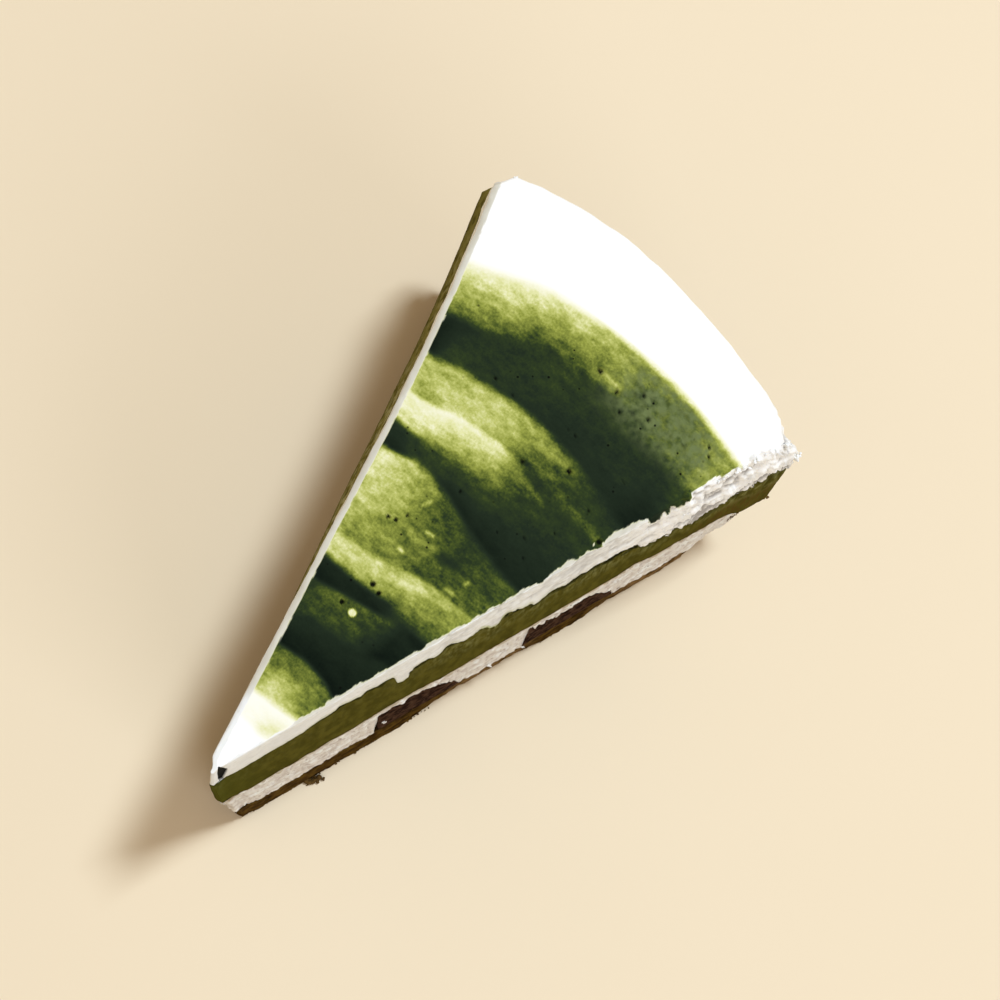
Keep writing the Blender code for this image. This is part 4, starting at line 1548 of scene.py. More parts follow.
@dataclass
class TopCream(LayerSkin):
    """Thick cream top with its marbling, ragged on its right cut and at its rim corners.

    Relief, rounding and borders are in millimetres.
    """

    name: str = "top_cream_cut"
    material_slot: str = "top_cream"
    stations: Stations = (
        (0.030, CREAM_LOW), (MATCHA_TOP, CREAM_LOW), (HEIGHT, CREAM_HIGH),
    )
    low_level: float = MATCHA_TOP
    high_level: float = HEIGHT
    middle_columns: int = 88
    levels: int = 26
    cap_rows: int = 90
    cap_columns: int = 22
    right_round: Knots = ((0, 0.24), (68, 0.3), (76, 0.8), (84, 1.1), (96, 1.3))
    left_round: Knots = ((0, 0.5), (10, 0.7), (16, 0.98), (90, 0.98))
    rim_round: Knots = ((0, 0.6),)
    left_bevel: float = 0.72
    round_change: float = 0.4
    round_grain: Texture = Texture(0.0019, 2, 31)
    round_share: float = 0.35
    right_relief: Knots = (
        (0, 0.02), (12, 0.03), (26, 0.05), (45, 0.10), (65, 0.14), (72, 0.24), (78, 0.36), (90, 0.40),
        (96, 0.40),
    )
    left_relief: Knots = ((0, 0.02), (60, 0.02), (84, 0.04), (92, 0.08))
    right_corner_relief: Knots = ((0, 0.36), (4, 0.22), (9, 0.06), (40, 0.03))
    left_corner_relief: Knots = ((0, 0.16), (4, 0.08), (9, 0.03), (40, 0.0))
    corner_reach: Span = (6.0, 1.0)
    lumps: Texture = Texture(0.0012, 3, 5, lumpy=True, stretch=(1.5, 1.0, 1.0))
    lumps_middle: float = 0.25
    lumps_share: float = 0.55
    swell: Texture = Texture(0.0030, 2, 6, stretch=(1.5, 1.0, 1.0))
    brow_x: Span = (0.071, 0.077)
    brow_height: float = 0.0385
    brow_wave: float = 0.0016
    brow_grain: Texture = Texture(0.002, 2, 8, stretch=(3.0, 1.0, 1.0))
    brow_soft: float = 0.0006
    brow_depth: float = 0.00034
    top_relief: float = 0.004
    top_reach: float = 0.0007
    rough_relief: float = 0.10
    rough_grain: Texture = Texture(0.0013, 2, 9, lumpy=True)
    rough_x: tuple[Span, Span] = ((74.5, 80.5), (87.0, 85.0))
    rough_y: tuple[Span, Span] = ((0.0, -9.0), (-26.0, -21.0))
    border: Knots = (
        (0, 0.12), (12, 0.30), (26, 0.34), (45, 0.25), (50, 0.2), (51, -0.4), (52, 0.2), (60, 0.25),
        (61, -0.6), (62, 0.3), (68.5, 0.4), (69.4, -3.2), (70.9, -3.6), (71.6, -1.2), (72.3, -4.2),
        (73, -1), (73.8, -2.6), (75.4, -2.2), (76.2, 0.1), (80, 0.1), (83, -0.2), (86, 0.1), (90, 0.3),
    )
    border_tear: float = 0.00030
    border_grain: Texture = Texture(0.0011, 3, 17)
    border_soft: float = 0.00006
    border_soft_below: float = 0.12
    deep_border_tear: float = 3.0
    left_border: float = 0.00088
    left_border_tear: float = 0.3
    smear_runs: Knots = (
        (0, 0.1), (14, 0.35), (20, 0.5), (24, 0.3), (34, 0.3), (41, 0.3), (42.8, 0.95), (45.5, 0.95),
        (47, 0.3), (50, 0.5), (53, 0.4), (56, 0.2), (98, 0.1),
    )
    smear_height: float = 0.0022
    # where the band of painted shade on the top starts and ends, and how wide it is beside the left cut
    strip_x: Span = (0.009, 0.013)
    strip_end_x: Span = (0.072, 0.066)
    strip_width: Span = (0.0012, 0.0010)
    # where the whiter cream of the painted light starts and where it is full, along the slice
    pure_x: Span = (0.060, 0.074)
    marbling: Marbling = Marbling()
    # round pits in the top: sunk a little, with painted shade inside
    pits: tuple[Triple, ...] = (
        (34.2, 1.8, 0.50), (33.8, 0.3, 0.42), (29.3, 3.3, 0.40), (43, 6.95, 0.36), (43.4, 5.8, 0.36),
        (45, 5, 0.30), (62.5, -1.8, 0.40), (66.1, -7.8, 0.45), (80.6, -1.1, 0.50), (79.9, -5, 0.45),
        (61.3, -18, 0.5), (70.7, -3.4, 0.22), (70.7, -5, 0.22), (68.9, 6, 0.25), (69.1, 9.4, 0.25),
        (54.2, -9.7, 0.22), (52.9, 1.8, 0.3), (70.4, -14.7, 0.25), (77.8, -7.4, 0.3), (80, -11.1, 0.3),
        (80.6, -17.5, 0.3), (82, -21.5, 0.3), (83.1, -20.5, 0.25), (82.3, -8.3, 0.35), (52.1, -6.3, 0.22),
        (51.9, -11.5, 0.2), (63.7, -13.7, 0.25), (57.8, -12.3, 0.22),
    )
    pit_edge: Span = (1.15, 0.6)
    pit_depth: float = 0.00035
    # corners of the three-cornered hole, whose inside gets painted shade
    hole: tuple[Span, ...] = (
        (0.14, -0.06), (-0.62, -0.66), (-1.18, -1.34), (-0.98, -1.76), (0.60, -1.36), (0.82, -1.20),
    )
    hole_lean: Span = (-0.064, -0.068)
    hole_way: Triple = (0.00008, 0.00030, -0.00024)
    hole_edge: float = 0.06

    def rounding(self, x: Array, y: Array, radius: Knots) -> Array:
        """Radius of the top's edge, uneven along its length."""
        points = np.stack([x, y, np.zeros_like(x)], axis=-1)
        return through(x / MM, radius) * MM * (1.0 + self.round_change * self.round_grain.read(points))

    def drop(self, x: Array, y: Array, right: Array, left: Array, rim: Array) -> Array:
        """How far the rounded edges are below the top.

        Args:
            x: distances along the slice.
            y: side positions.
            right: distances in from the right cut.
            left: distances in from the left cut.
            rim: distances in from the rim.

        Returns:
            The drop at each place.
        """
        total = np.zeros_like(x)
        widest = self.round_share * (right + left)
        edges = ((right, self.right_round, 1.0), (left, self.left_round, self.left_bevel),
                 (rim, self.rim_round, 1.0))
        for distance, radius, share in edges:
            bend = np.minimum(self.rounding(x, y, radius), widest)
            inside = share * np.clip((bend - distance) / bend, 0.0, 1.0)
            total = total + bend * (1.0 - np.sqrt(1.0 - inside ** 2))
        return total

    def top(self, x: Array, y: Array, depth: Array) -> Array:
        """Height of the wall's upper edge."""
        across = PLAN.left_cut_y(x, HEIGHT, CREAM_HIGH) - PLAN.right_cut_y(x, HEIGHT, CREAM_HIGH)
        left = np.maximum(0.0, across - depth)
        rim = np.maximum(0.0, CREAM_HIGH.right_radius - np.hypot(x, y))
        return HEIGHT - self.drop(x, y, depth, left, rim)

    @staticmethod
    def corner_places() -> tuple[Array, Array]:
        """The top's two rim corners, the right one first."""
        return (
            PLAN.corner(PLAN.right_cut_y, HEIGHT, CREAM_HIGH, CREAM_HIGH.right_radius),
            PLAN.corner(PLAN.left_cut_y, HEIGHT, CREAM_HIGH, CREAM_HIGH.left_radius),
        )

    def corners(self) -> tuple[Array, ...]:
        """The ragged rim corner, at the right cut."""
        return self.corner_places()[:1]

    def cover(self, layout: Layout, edge: list[int], first: int) -> tuple:
        """The marbled top, as dense as the walls.

        Args:
            layout: where the layer's vertices go.
            edge: the wall's highest vertices.
            first: number of the top's first own vertex.

        Returns:
            Places, distances in from the right cut, and faces.
        """
        loft, rows, columns = layout.loft, layout.rows, layout.columns
        steps, side_steps = len(rows) - 1, columns.shape[1] - 1
        along = np.repeat(rows[1:-1], side_steps - 1)
        across = columns[1:-1, 1:-1].ravel()
        level = np.full(len(along), HEIGHT)
        plan = loft.at(along, across, level)
        width = loft.width(along, level)
        depth = across * width
        rim = np.linalg.norm(loft.at(np.ones_like(along), across, level) - plan, axis=1)
        drop = self.drop(plan[:, 0], plan[:, 1], depth, width - depth, rim)
        number = np.empty(columns.shape, int)
        number[1:-1, 1:-1] = first + np.arange(len(along)).reshape(steps - 1, side_steps - 1)
        number[:-1, 0] = edge[:steps]
        number[-1, :-1] = edge[steps:steps + side_steps]
        number[:0:-1, -1] = edge[steps + side_steps:2 * steps + side_steps]
        number[0, :0:-1] = edge[2 * steps + side_steps:]
        return np.column_stack([plan, HEIGHT - drop]), depth, quads(number)

    @staticmethod
    def edge_distances(skin: Skin) -> tuple[Array, Array]:
        """Distances of the skin's places in from the top's right and left cuts."""
        x, y = skin.places[:, 0], skin.places[:, 1]
        right = np.maximum(0.0, y - PLAN.right_cut_y(x, HEIGHT, CREAM_HIGH))
        left = np.maximum(0.0, PLAN.left_cut_y(x, HEIGHT, CREAM_HIGH) - y)
        return right, left

    def amount(self, skin: Skin) -> Array:
        """How deep the cream's lumps are at each place.

        Args:
            skin: the layer's skin.

        Returns:
            Depths in millimetres.
        """
        x = skin.places[:, 0] / MM
        right, left = self.edge_distances(skin)
        near = [np.linalg.norm(skin.places[:, :2] - corner, axis=1) / MM for corner in self.corner_places()]
        on_right = through(x, self.right_relief)
        on_left = through(x, self.left_relief)
        on_rim = np.maximum(
            through(near[0], self.right_corner_relief), through(near[1], self.left_corner_relief))
        beside = [on_right * np.exp(-right / self.top_reach), on_left * np.exp(-left / self.top_reach),
                  on_rim * ramp(near[0], *self.corner_reach)]
        on_point = self.right_relief[0][1]
        on_top = self.top_relief + np.max(beside, axis=0)
        places = [*(skin.on(side) for side in Side), skin.on_top]
        return np.select(places, [on_right, on_rim, on_left, on_point, on_top])

    def relief(self, skin: Skin) -> Array:
        """How far each place moves out.

        Args:
            skin: the layer's skin.

        Returns:
            The distances.
        """
        lumps = self.lumps.read(skin.places) - self.lumps_middle
        swell = self.swell.read(skin.places)
        shift = self.amount(skin) * MM * (self.lumps_share * lumps + swell)
        shift = shift - self.brow_depth * self.under_brow(skin)
        rough = self.rough_relief * MM * self.roughened(skin) * skin.on_top
        shift = shift + rough * self.rough_grain.read(skin.places)
        shift[(skin.side == LEVEL_SIDE) & ~skin.on_top] = 0.0
        return shift - self.pit_depth * self.pitted(skin)

    def under_brow(self, skin: Skin) -> Array:
        """Where the right cut is hollow under the cream's overhang, beside the rim corner."""
        x, _, z = skin.places.T
        lip = self.brow_height + self.brow_wave * self.brow_grain.read(skin.places)
        below = ramp(z, lip + self.brow_soft, lip - self.brow_soft)
        return below * ramp(x, *self.brow_x) * skin.on(Side.RIGHT)

    def roughened(self, skin: Skin) -> Array:
        """How rough the marbling is at each place, from 0 to 1."""
        x, y = skin.places[:, 0] / MM, skin.places[:, 1] / MM
        beside_rim = ramp(x, *self.rough_x[0]) * ramp(x, *self.rough_x[1])
        return beside_rim * ramp(y, *self.rough_y[0]) * ramp(y, *self.rough_y[1])

    def pitted(self, skin: Skin) -> Array:
        """How deep each place is in one of the round pits, from 0 to 1.

        Args:
            skin: the layer's skin.

        Returns:
            The shares.
        """
        x, y = skin.places[:, 0] / MM, skin.places[:, 1] / MM
        start, end = self.pit_edge
        share = np.zeros(len(x))
        for pit_x, pit_y, radius in self.pits:
            share = np.maximum(share, ramp(np.hypot(x - pit_x, y - pit_y), radius * start, radius * end))
        return share * skin.on_top

    def inside_hole(self, places: Array) -> Array:
        """How many millimetres each place is inside the three-cornered hole at the point.

        Args:
            places: the places.

        Returns:
            Depths inside it, less than 0 outside.
        """
        below = (HEIGHT - places[:, 2]) / MM
        x = places[:, 0] / MM + self.hole_lean[0] * below
        y = places[:, 1] / MM + self.hole_lean[1] * below
        corners = np.array(self.hole)
        inside = np.full(len(places), np.inf)
        for here, after in zip(corners, np.roll(corners, -1, axis=0)):
            run = (after - here) / np.linalg.norm(after - here)
            inside = np.minimum(inside, (y - here[1]) * run[0] - (x - here[0]) * run[1])
        return inside

    def carve(self, places: Array) -> Array:
        """Cut the three-cornered hole at the point."""
        share = ramp(self.inside_hole(places), -self.hole_edge, self.hole_edge)
        return places + share[:, None] * np.array(self.hole_way)

    def glazed(self, skin: Skin) -> Array:
        """Where the marbling reaches, from 0 on bare cut cream to 1 on the top.

        Args:
            skin: the layer's skin.

        Returns:
            The shares.
        """
        x, z = skin.places[:, 0], skin.places[:, 2]
        right, left = self.edge_distances(skin)
        down = HEIGHT - z
        border = through(x / MM, self.border) * MM
        torn = self.border_tear * self.border_grain.read(skin.places)
        right_tear = torn * (1.0 + self.deep_border_tear * (border < 0.0))
        soft = self.border_soft + self.border_soft_below * down
        share = ramp((right - down - border - right_tear) / soft, -1.0, 1.0)
        share = share * ramp((left - self.left_border - self.left_border_tear * torn) / soft, -1.0, 1.0)
        return share * (skin.on_top | skin.on(Side.RIGHT))

    def marks(self, skin: Skin) -> dict[str, Array]:
        """Density of matcha, bare cut cream with its smear, painted light and a band of painted shade, and
        painted shade in pits and the hole.

        Args:
            skin: the layer's skin.

        Returns:
            Values by name.
        """
        x, y, z = skin.places.T
        glazed = self.glazed(skin)
        low = JOINTS.height(x, y, skin.depth, MATCHA_TOP)
        smear = ramp(z - low, self.smear_height, 0.0) * through(x / MM, self.smear_runs)
        _, left = self.edge_distances(skin)
        # band of painted shade beside the left cut, and over the bare top along most of the right border
        painted_shade_strip = np.maximum(ramp(left, *self.strip_width), ramp(x, *self.strip_end_x))
        return {
            "matcha": self.marbling.density(x / MM, y / MM) * glazed,
            "cut": 1.0 - glazed,
            # painted shade in the round pits
            "painted_pit_shade": self.pitted(skin),
            # painted shade in the three-cornered hole
            "hole": np.clip(0.5 + 0.5 * self.inside_hole(skin.places), 0.0, 1.0),
            # painted light: whiter cream near the right rim corner
            "painted_light_white": ramp(x, *self.pure_x),
            "smear": smear * skin.on(Side.RIGHT),
            "rough": self.roughened(skin),
            "painted_shade_strip": skin.on_top * ramp(x, *self.strip_x) * painted_shade_strip,
        }


@dataclass
class MatchaLayer(LayerSkin):
    """Smooth dense matcha layer."""

    name: str = "matcha_cut"
    material_slot: str = "matcha"
    stations: Stations = (
        (LOWER_CREAM_TOP, MATCHA_LOW), (0.036, MATCHA_SHOULDER), (MATCHA_TOP, MATCHA_HIGH),
        (0.0475, MATCHA_HIGH.towards(CREAM_HIGH, 0.56)),
    )
    low_level: float = LOWER_CREAM_TOP
    high_level: float = MATCHA_TOP
    crag: float = 0.00015
    levels: int = 34
    grain: Texture = Texture(0.0013, 3, 41)
    grain_depth: float = 0.00004
    torn: Texture = Texture(0.0012, 3, 43)
    torn_share: float = 0.8
    skin_runs: Knots = (
        (0, 0.25), (14, 0.4), (17, 0.7), (18, 1), (21, 1), (22, 0.7), (27, 0.7), (28, 0.2), (30, 0.2),
        (30.7, 1), (33.5, 1), (35, 0.5), (37, 0.8), (42, 0.8), (43, 0), (45, 0), (46, 0.95), (50, 0.95),
        (51, 0.6), (56, 0.8), (58, 1), (60, 0.8), (64, 1), (69, 1), (71, 0.6), (75, 0.3), (80, 0.35),
        (96, 0.4),
    )
    skin_depth: Knots = (
        (0, 0.7), (17, 1.2), (21, 1.6), (30, 2.4), (40, 1.8), (47, 2.2), (54, 3.4), (67, 3.4), (72, 2),
        (96, 1.6),
    )
    skin_limits: Span = (0.15, 2.0)
    skin_full: float = 0.35
    skin_off_left: float = 0.7
    foot_depth: float = 0.0009
    foot_limits: Span = (0.2, 2.0)
    foot_full: float = 0.3
    foot_amount: float = 0.55
    pale_runs: Knots = (
        (0, 0.1), (28, 0.15), (33, 0.3), (36, 0.6), (45, 0.6), (50, 0.45), (54, 0.7), (70, 0.7), (76, 0.5),
        (82, 0.7), (86, 0.9), (98, 1),
    )
    pale_share: Span = (0.35, 0.85)
    brown_x: Span = (0.074, 0.086)
    brown_share: Span = (0.95, 0.45)
    brown_foot: Span = (0.0014, 0.0004)
    brown_foot_amount: float = 0.8
    fresh_x: Span = (0.008, -0.001)
    fresh_amount: float = 0.8
    # where the painted light on the left cut starts, along the slice and up it
    painted_light_left_x: Span = (0.018, 0.030)
    painted_light_left_z: Span = (0.034, 0.040)
    fleck_runs: Knots = ((24, 0.3), (34, 0.8), (56, 0.8), (66, 0.35), (80, 0.3), (90, 0.0))

    def darkened(self, skin: Skin, torn: Array, below: Array, above: Array) -> Array:
        """Dark line along the top under the cream, and dark foot, each with a torn edge.

        Args:
            skin: the layer's skin.
            torn: noise at each place.
            below: how far each place is below the cream.
            above: how far each place is above the lower cream.

        Returns:
            How dark each place is, from 0 to 1.
        """
        x = skin.places[:, 0] / MM
        change = self.torn_share + self.torn_share * torn
        depth = through(x, self.skin_depth) * MM * np.clip(change, *self.skin_limits)
        dark = through(x, self.skin_runs) * ramp(below, depth, depth * self.skin_full)
        foot = self.foot_depth * np.clip(change, *self.foot_limits)
        dark = np.maximum(dark, self.foot_amount * ramp(above, foot, foot * self.foot_full))
        return np.clip(dark * (1.0 - self.skin_off_left * skin.on(Side.LEFT)), 0.0, 1.0)

    def marks(self, skin: Skin) -> dict[str, Array]:
        """Dark line under the cream and dark foot, paler and browner runs, green near the point, and painted
        light with flecks on the left.

        Args:
            skin: the layer's skin.

        Returns:
            Values by name.
        """
        x, y, z = skin.places.T
        high = JOINTS.height(x, y, skin.depth, MATCHA_TOP)
        low = JOINTS.height(x, y, skin.depth, LOWER_CREAM_TOP)
        torn = self.torn.read(skin.places)
        share = (z - low) / np.maximum(high - low, SEAM)
        pale = ramp(share, *self.pale_share) * np.clip(self.torn_share + torn, 0.0, 1.0)
        brown = ramp(x, *self.brown_x) * ramp(share, *self.brown_share)
        brown_foot = self.brown_foot_amount * ramp(z - low, *self.brown_foot)
        return {
            "skin": self.darkened(skin, torn, high - z, z - low),
            "fresh": self.fresh_amount * ramp(x, *self.fresh_x),
            "pale": through(x / MM, self.pale_runs) * pale,
            "brown": np.maximum(brown, brown_foot),
            # painted light on the upper part of the left cut
            "painted_light_left": skin.on(Side.LEFT) * ramp(z, *self.painted_light_left_z) * ramp(x, *self.painted_light_left_x),
            "flecked": through(x / MM, self.fleck_runs),
        }


FILLING_RINGS: dict[str, Knots] = {
    "filling_inner": (
        (26.2, 0), (26.5, 9), (27.5, 11.2), (30, 11.8), (34, 11.5), (37, 10.2), (39, 7.4),
        (40.5, 4.4), (41.6, 1.6), (42, 0),
    ),
    "filling_outer": (
        (53.6, 0), (53.9, 8.8), (55, 9.2), (57.5, 9.5), (59.6, 7.9), (60.8, 9.2), (63, 9.8),
        (65, 9.5), (67, 7.6), (68.6, 5.2), (70, 2.8), (70.8, 0),
    ),
}


def filling_height(x: Array, y: Array) -> Array:
    """Height of the filling over the sponge, 0 outside both rings."""
    radius = np.hypot(x, y) / MM
    return sum(through(radius, profile) for profile in FILLING_RINGS.values()) * MM


@dataclass
class LowerCream(LayerSkin):
    """Cream layer that arches over both rings of filling."""

    name: str = "lower_cream_cut"
    material_slot: str = "lower_cream"
    stations: Stations = LOWER_STATIONS
    low_level: float = BASE_TOP
    high_level: float = LOWER_CREAM_TOP
    crag: float = LOWER_CRAG
    cap_rows: int = 320
    grain: Texture = Texture(0.0013, 3, 51, lumpy=True)
    grain_depth: float = 0.00009
    # how far below the matcha the painted shade on the ledge reaches, from full to none
    lip: Span = (0.0005, 0.000125)

    def bottom(self, x: Array, y: Array, depth: Array) -> Array:
        """Height of the cream's underside, with the arches."""
        return super().bottom(x, y, depth) + filling_height(x, y)

    def marks(self, skin: Skin) -> dict[str, Array]:
        """The lip that the matcha layer stands on, which gets painted shade."""
        x, y, z = skin.places.T
        below = JOINTS.height(x, y, skin.depth, LOWER_CREAM_TOP) - z
        return {"lip": ramp(below, *self.lip)}


@dataclass
class BaseSponge(LayerSkin):
    """Thin sponge at the foot of the slice."""

    name: str = "base_sponge_cut"
    material_slot: str = "sponge"
    stations: Stations = ((0.0, BASE_LOW), (BASE_TOP, BASE_HIGH))
    high_level: float = BASE_TOP
    crag: float = LOWER_CRAG
    levels: int = 22
    grain: Texture = Texture(0.0012, 3, 61)
    grain_depth: float = 0.00012
    pale_runs: Knots = (
        (0, 0.1), (20, 0), (34, 0.1), (40, 0.7), (50, 0.6), (54, 0), (64, 0.1), (70, 0.7), (78, 0.9),
        (84, 1),
    )

    def bottom(self, x: Array, y: Array, depth: Array) -> Array:
        """Flat underside."""
        return np.zeros_like(x)

    def marks(self, skin: Skin) -> dict[str, Array]:
        """Runs of paler crumb on the right cut."""
        return {"pale": through(skin.places[:, 0] / MM, self.pale_runs) * skin.on(Side.RIGHT)}


@dataclass
class Filling:
    """One ring of dark filling, running through from cut to cut."""

    name: str = ""
    node: str = ""
    rows: int = 70
    columns: int = 60
    levels: int = 30
    inset: float = 0.00006
    lap: float = 0.16

    def build(self, finish: Finish) -> Object:
        """Make the ring's piece.

        Args:
            finish: what its surface looks like.

        Returns:
            The piece.
        """
        profile = FILLING_RINGS[self.node]
        loft = Loft(LOWER_STATIONS)
        inner, outer = profile[0][0] * MM - self.inset, profile[-1][0] * MM + self.inset
        rim = (LOWER_LOW.right_radius + LOWER_HIGH.right_radius) / 2.0
        shares = (np.linspace(inner, outer, self.rows + 1) / rim, np.linspace(0.0, 1.0, self.columns + 1))
        along, across = (share.ravel() for share in np.meshgrid(*shares, indexing="ij"))
        table = loft.table(along, across)
        x, y = loft.read(table, np.full(len(along), BASE_TOP)).T
        low = JOINTS.height(x, y, np.zeros(len(x)), BASE_TOP) + SEAM
        radius = np.hypot(x, y) / MM
        nearby = [through(radius + shift, profile) * MM for shift in (-self.lap, 0.0, self.lap)]
        arch = np.max(nearby, axis=0) + self.inset
        grid = np.zeros((self.rows + 1, self.columns + 1, self.levels + 1, 3))
        for level in range(self.levels + 1):
            z = low + level / self.levels * arch
            places = CRAGS.push(np.column_stack([loft.read(table, z), z]), LOWER_CRAG, ())
            grid[:, :, level] = places.reshape(self.rows + 1, self.columns + 1, 3)
        return new_piece(self.name, *block_skin(grid), finish)


def block_skin(grid: Array) -> tuple[Array, list[tuple]]:
    """Closed skin of a block of places.

    Args:
        grid: places indexed along, across and by level.

    Returns:
        The places on the skin, and its faces.
    """
    shell = np.ones(grid.shape[:3], bool)
    shell[1:-1, 1:-1, 1:-1] = False
    number = np.zeros(shell.shape, int)
    number[shell] = np.arange(np.count_nonzero(shell))
    above_below = (number[:, :, -1], number[:, :, 0].T)
    right_left = (number[:, 0], number[::-1, -1])
    inner_outer = (number[0, ::-1], number[-1])
    faces = [face for side in above_below + right_left + inner_outer for face in quads(side)]
    return grid[shell], faces


@dataclass(frozen=True)
class Heap:
    """Crumbs scattered along one line, in millimetres."""

    start: Triple
    end: Triple
    spread: float
    count: int
    size: float


@dataclass
class Crumbs:
    """Loose crumbs of one kind, made by one Geometry Nodes tree."""

    name: str
    material_slot: str
    heaps: tuple[Heap, ...]
    seed: int
    scatter: float = 0.5
    smallest: float = 0.45
    lowest: float = 0.7
    roughness: float = 0.9
    grain: float = 0.0003
    rounds: int = 3
    stretch: Span = (0.35, 1.25)

    def host(self) -> Object:
        """Mesh of the crumbs' centres, with each one's size."""
        dice = np.random.default_rng(self.seed)
        centres, sizes = [], []
        for heap in self.heaps:
            shares = (np.arange(heap.count) + 0.5) / heap.count
            line = mix(np.array(heap.start), np.array(heap.end), shares[:, None])
            centre = line + heap.spread * dice.normal(size=line.shape) * self.scatter
            size = heap.size * dice.uniform(self.smallest, 1.0, heap.count)
            centre[:, 2] = np.maximum(centre[:, 2], self.lowest * size)
            centres.append(centre)
            sizes.append(size)
        places = np.concatenate(centres) * MM + np.array([CAKE_AXIS_X, 0.0, 0.0])
        mesh = bpy.data.meshes.new(self.name)
        mesh.from_pydata(places.tolist(), [], [])
        sized = mesh.attributes.new("size", "FLOAT", "POINT")
        sized.data.foreach_set("value", np.concatenate(sizes) * MM / 2.0)
        return in_scene(self.name, mesh)

    def tree(self) -> tuple[bpy.types.GeometryNodeTree, dict[str, str]]:
        """Make the tree that puts a rough crumb at each centre.

        Returns:
            The tree, and the identifier of each named input.
        """
        tree = bpy.data.node_groups.new(self.name, "GeometryNodeTree")
        kinds = {"Geometry": "Geometry", "Seed": "Int", "Roughness": "Float", "Material": "Material"}
        named = {
            label: tree.interface.new_socket(
                name=label, in_out="INPUT", socket_type="NodeSocket" + kind).identifier
            for label, kind in kinds.items()
        }
        tree.interface.new_socket(name="Geometry", in_out="OUTPUT", socket_type="NodeSocketGeometry")
        node = Wiring(tree).node
        entry = node("NodeGroupInput").outputs
        dots = node("GeometryNodeMeshToPoints", entry["Geometry"])
        ball = node("GeometryNodeMeshIcoSphere", Subdivisions=self.rounds)
        size = node("GeometryNodeInputNamedAttribute", Name="size")
        turn = node("FunctionNodeRandomValue", data_type="FLOAT_VECTOR", Max=(math.tau,) * 3,
                    Seed=entry["Seed"])
        shape = node("FunctionNodeRandomValue", data_type="FLOAT_VECTOR", Min=(self.stretch[0],) * 3,
                     Max=(self.stretch[1],) * 3, Seed=entry["Seed"])
        scale = node("ShaderNodeVectorMath", shape.outputs["Value"], operation="SCALE",
                     Scale=size.outputs["Attribute"])
        placed = node("GeometryNodeInstanceOnPoints", dots.outputs["Points"],
                      Instance=ball.outputs["Mesh"], Rotation=turn.outputs["Value"],
                      Scale=scale.outputs["Vector"])
        real = node("GeometryNodeRealizeInstances", placed.outputs["Instances"])
        bumps = node("ShaderNodeTexNoise", Scale=1.0 / self.grain, Detail=1.0)
        lift = node("ShaderNodeMath", bumps.outputs["Fac"], 0.5, operation="SUBTRACT")
        rough = node("ShaderNodeMath", lift.outputs["Value"], entry["Roughness"], operation="MULTIPLY")
        out = node("GeometryNodeInputNormal").outputs["Normal"]
        push = node("ShaderNodeVectorMath", out, operation="SCALE", Scale=rough.outputs["Value"])
        moved = node("GeometryNodeSetPosition", real.outputs["Geometry"], Offset=push.outputs["Vector"])
        smooth = node("GeometryNodeSetShadeSmooth", moved.outputs["Geometry"])
        dressed = node("GeometryNodeSetMaterial", smooth.outputs["Geometry"], Material=entry["Material"])
        node("NodeGroupOutput", dressed.outputs["Geometry"])
        return tree, named

    def build(self, finish: Finish) -> Object:
        """Make the crumbs as one plain mesh.

        Args:
            finish: what their surface looks like.

        Returns:
            The piece.
        """
        piece = self.host()
        tree, named = self.tree()
        modifier = piece.modifiers.new("crumbs", "NODES")
        modifier.node_group = tree
        modifier[named["Seed"]] = self.seed
        modifier[named["Roughness"]] = self.roughness * self.grain
        modifier[named["Material"]] = finish.material()
        done = piece.evaluated_get(bpy.context.evaluated_depsgraph_get())
        mesh = bpy.data.meshes.new_from_object(done)
        piece.modifiers.clear()
        piece.data = mesh
        return piece


SPONGE_HEAPS = (
    Heap((11.4, -8.5, 0.4), (13.2, -9.4, 0.3), 0.55, 30, 0.85),
    Heap((12.6, -9.2, 0.2), (13.7, -9.9, 0.2), 0.4, 12, 0.6),
    Heap((1.0, -4.9, 0.2), (24.0, -12.0, 0.2), 0.16, 40, 0.40),
    Heap((25.0, -12.2, 0.2), (34.0, -14.9, 0.2), 0.16, 14, 0.40),
    Heap((54.0, -20.8, 0.2), (62.0, -23.2, 0.2), 0.16, 12, 0.40),
    Heap((92.2, -32.0, 21.0), (92.9, -32.4, 20.4), 0.22, 7, 0.5),
    Heap((85.4, -30.0, 20.2), (87.8, -30.6, 20.2), 0.15, 14, 0.34),
)
LOWER_HEAPS = (
    Heap((43.8, -17.4, 10.4), (44.4, -17.9, 8.0), 0.12, 9, 0.45),
    Heap((49.7, -19.3, 10.2), (50.4, -19.8, 8.2), 0.12, 8, 0.40),
    Heap((25.2, -11.3, 13.4), (25.9, -11.6, 11.6), 0.2, 10, 0.6),
    Heap((-1.7, -1.7, 20.6), (-0.3, -2.8, 13.0), 0.1, 14, 0.34),
)
CREAM_HEAPS = (
    Heap((94.0, -30.2, 42.0), (96.8, -31.6, 35.0), 0.6, 26, 0.95),
    Heap((91.0, -28.0, 51.2), (93.0, -29.0, 47.0), 0.5, 14, 0.9),
    Heap((80.0, -25.0, 51.4), (90.0, -28.0, 51.3), 0.35, 14, 0.75),
    Heap((75.0, -24.2, 44.0), (92.0, -29.6, 40.0), 0.6, 18, 0.85),
    Heap((91.6, 29.0, 51.2), (94.4, 27.7, 51.3), 0.35, 14, 0.7),
)


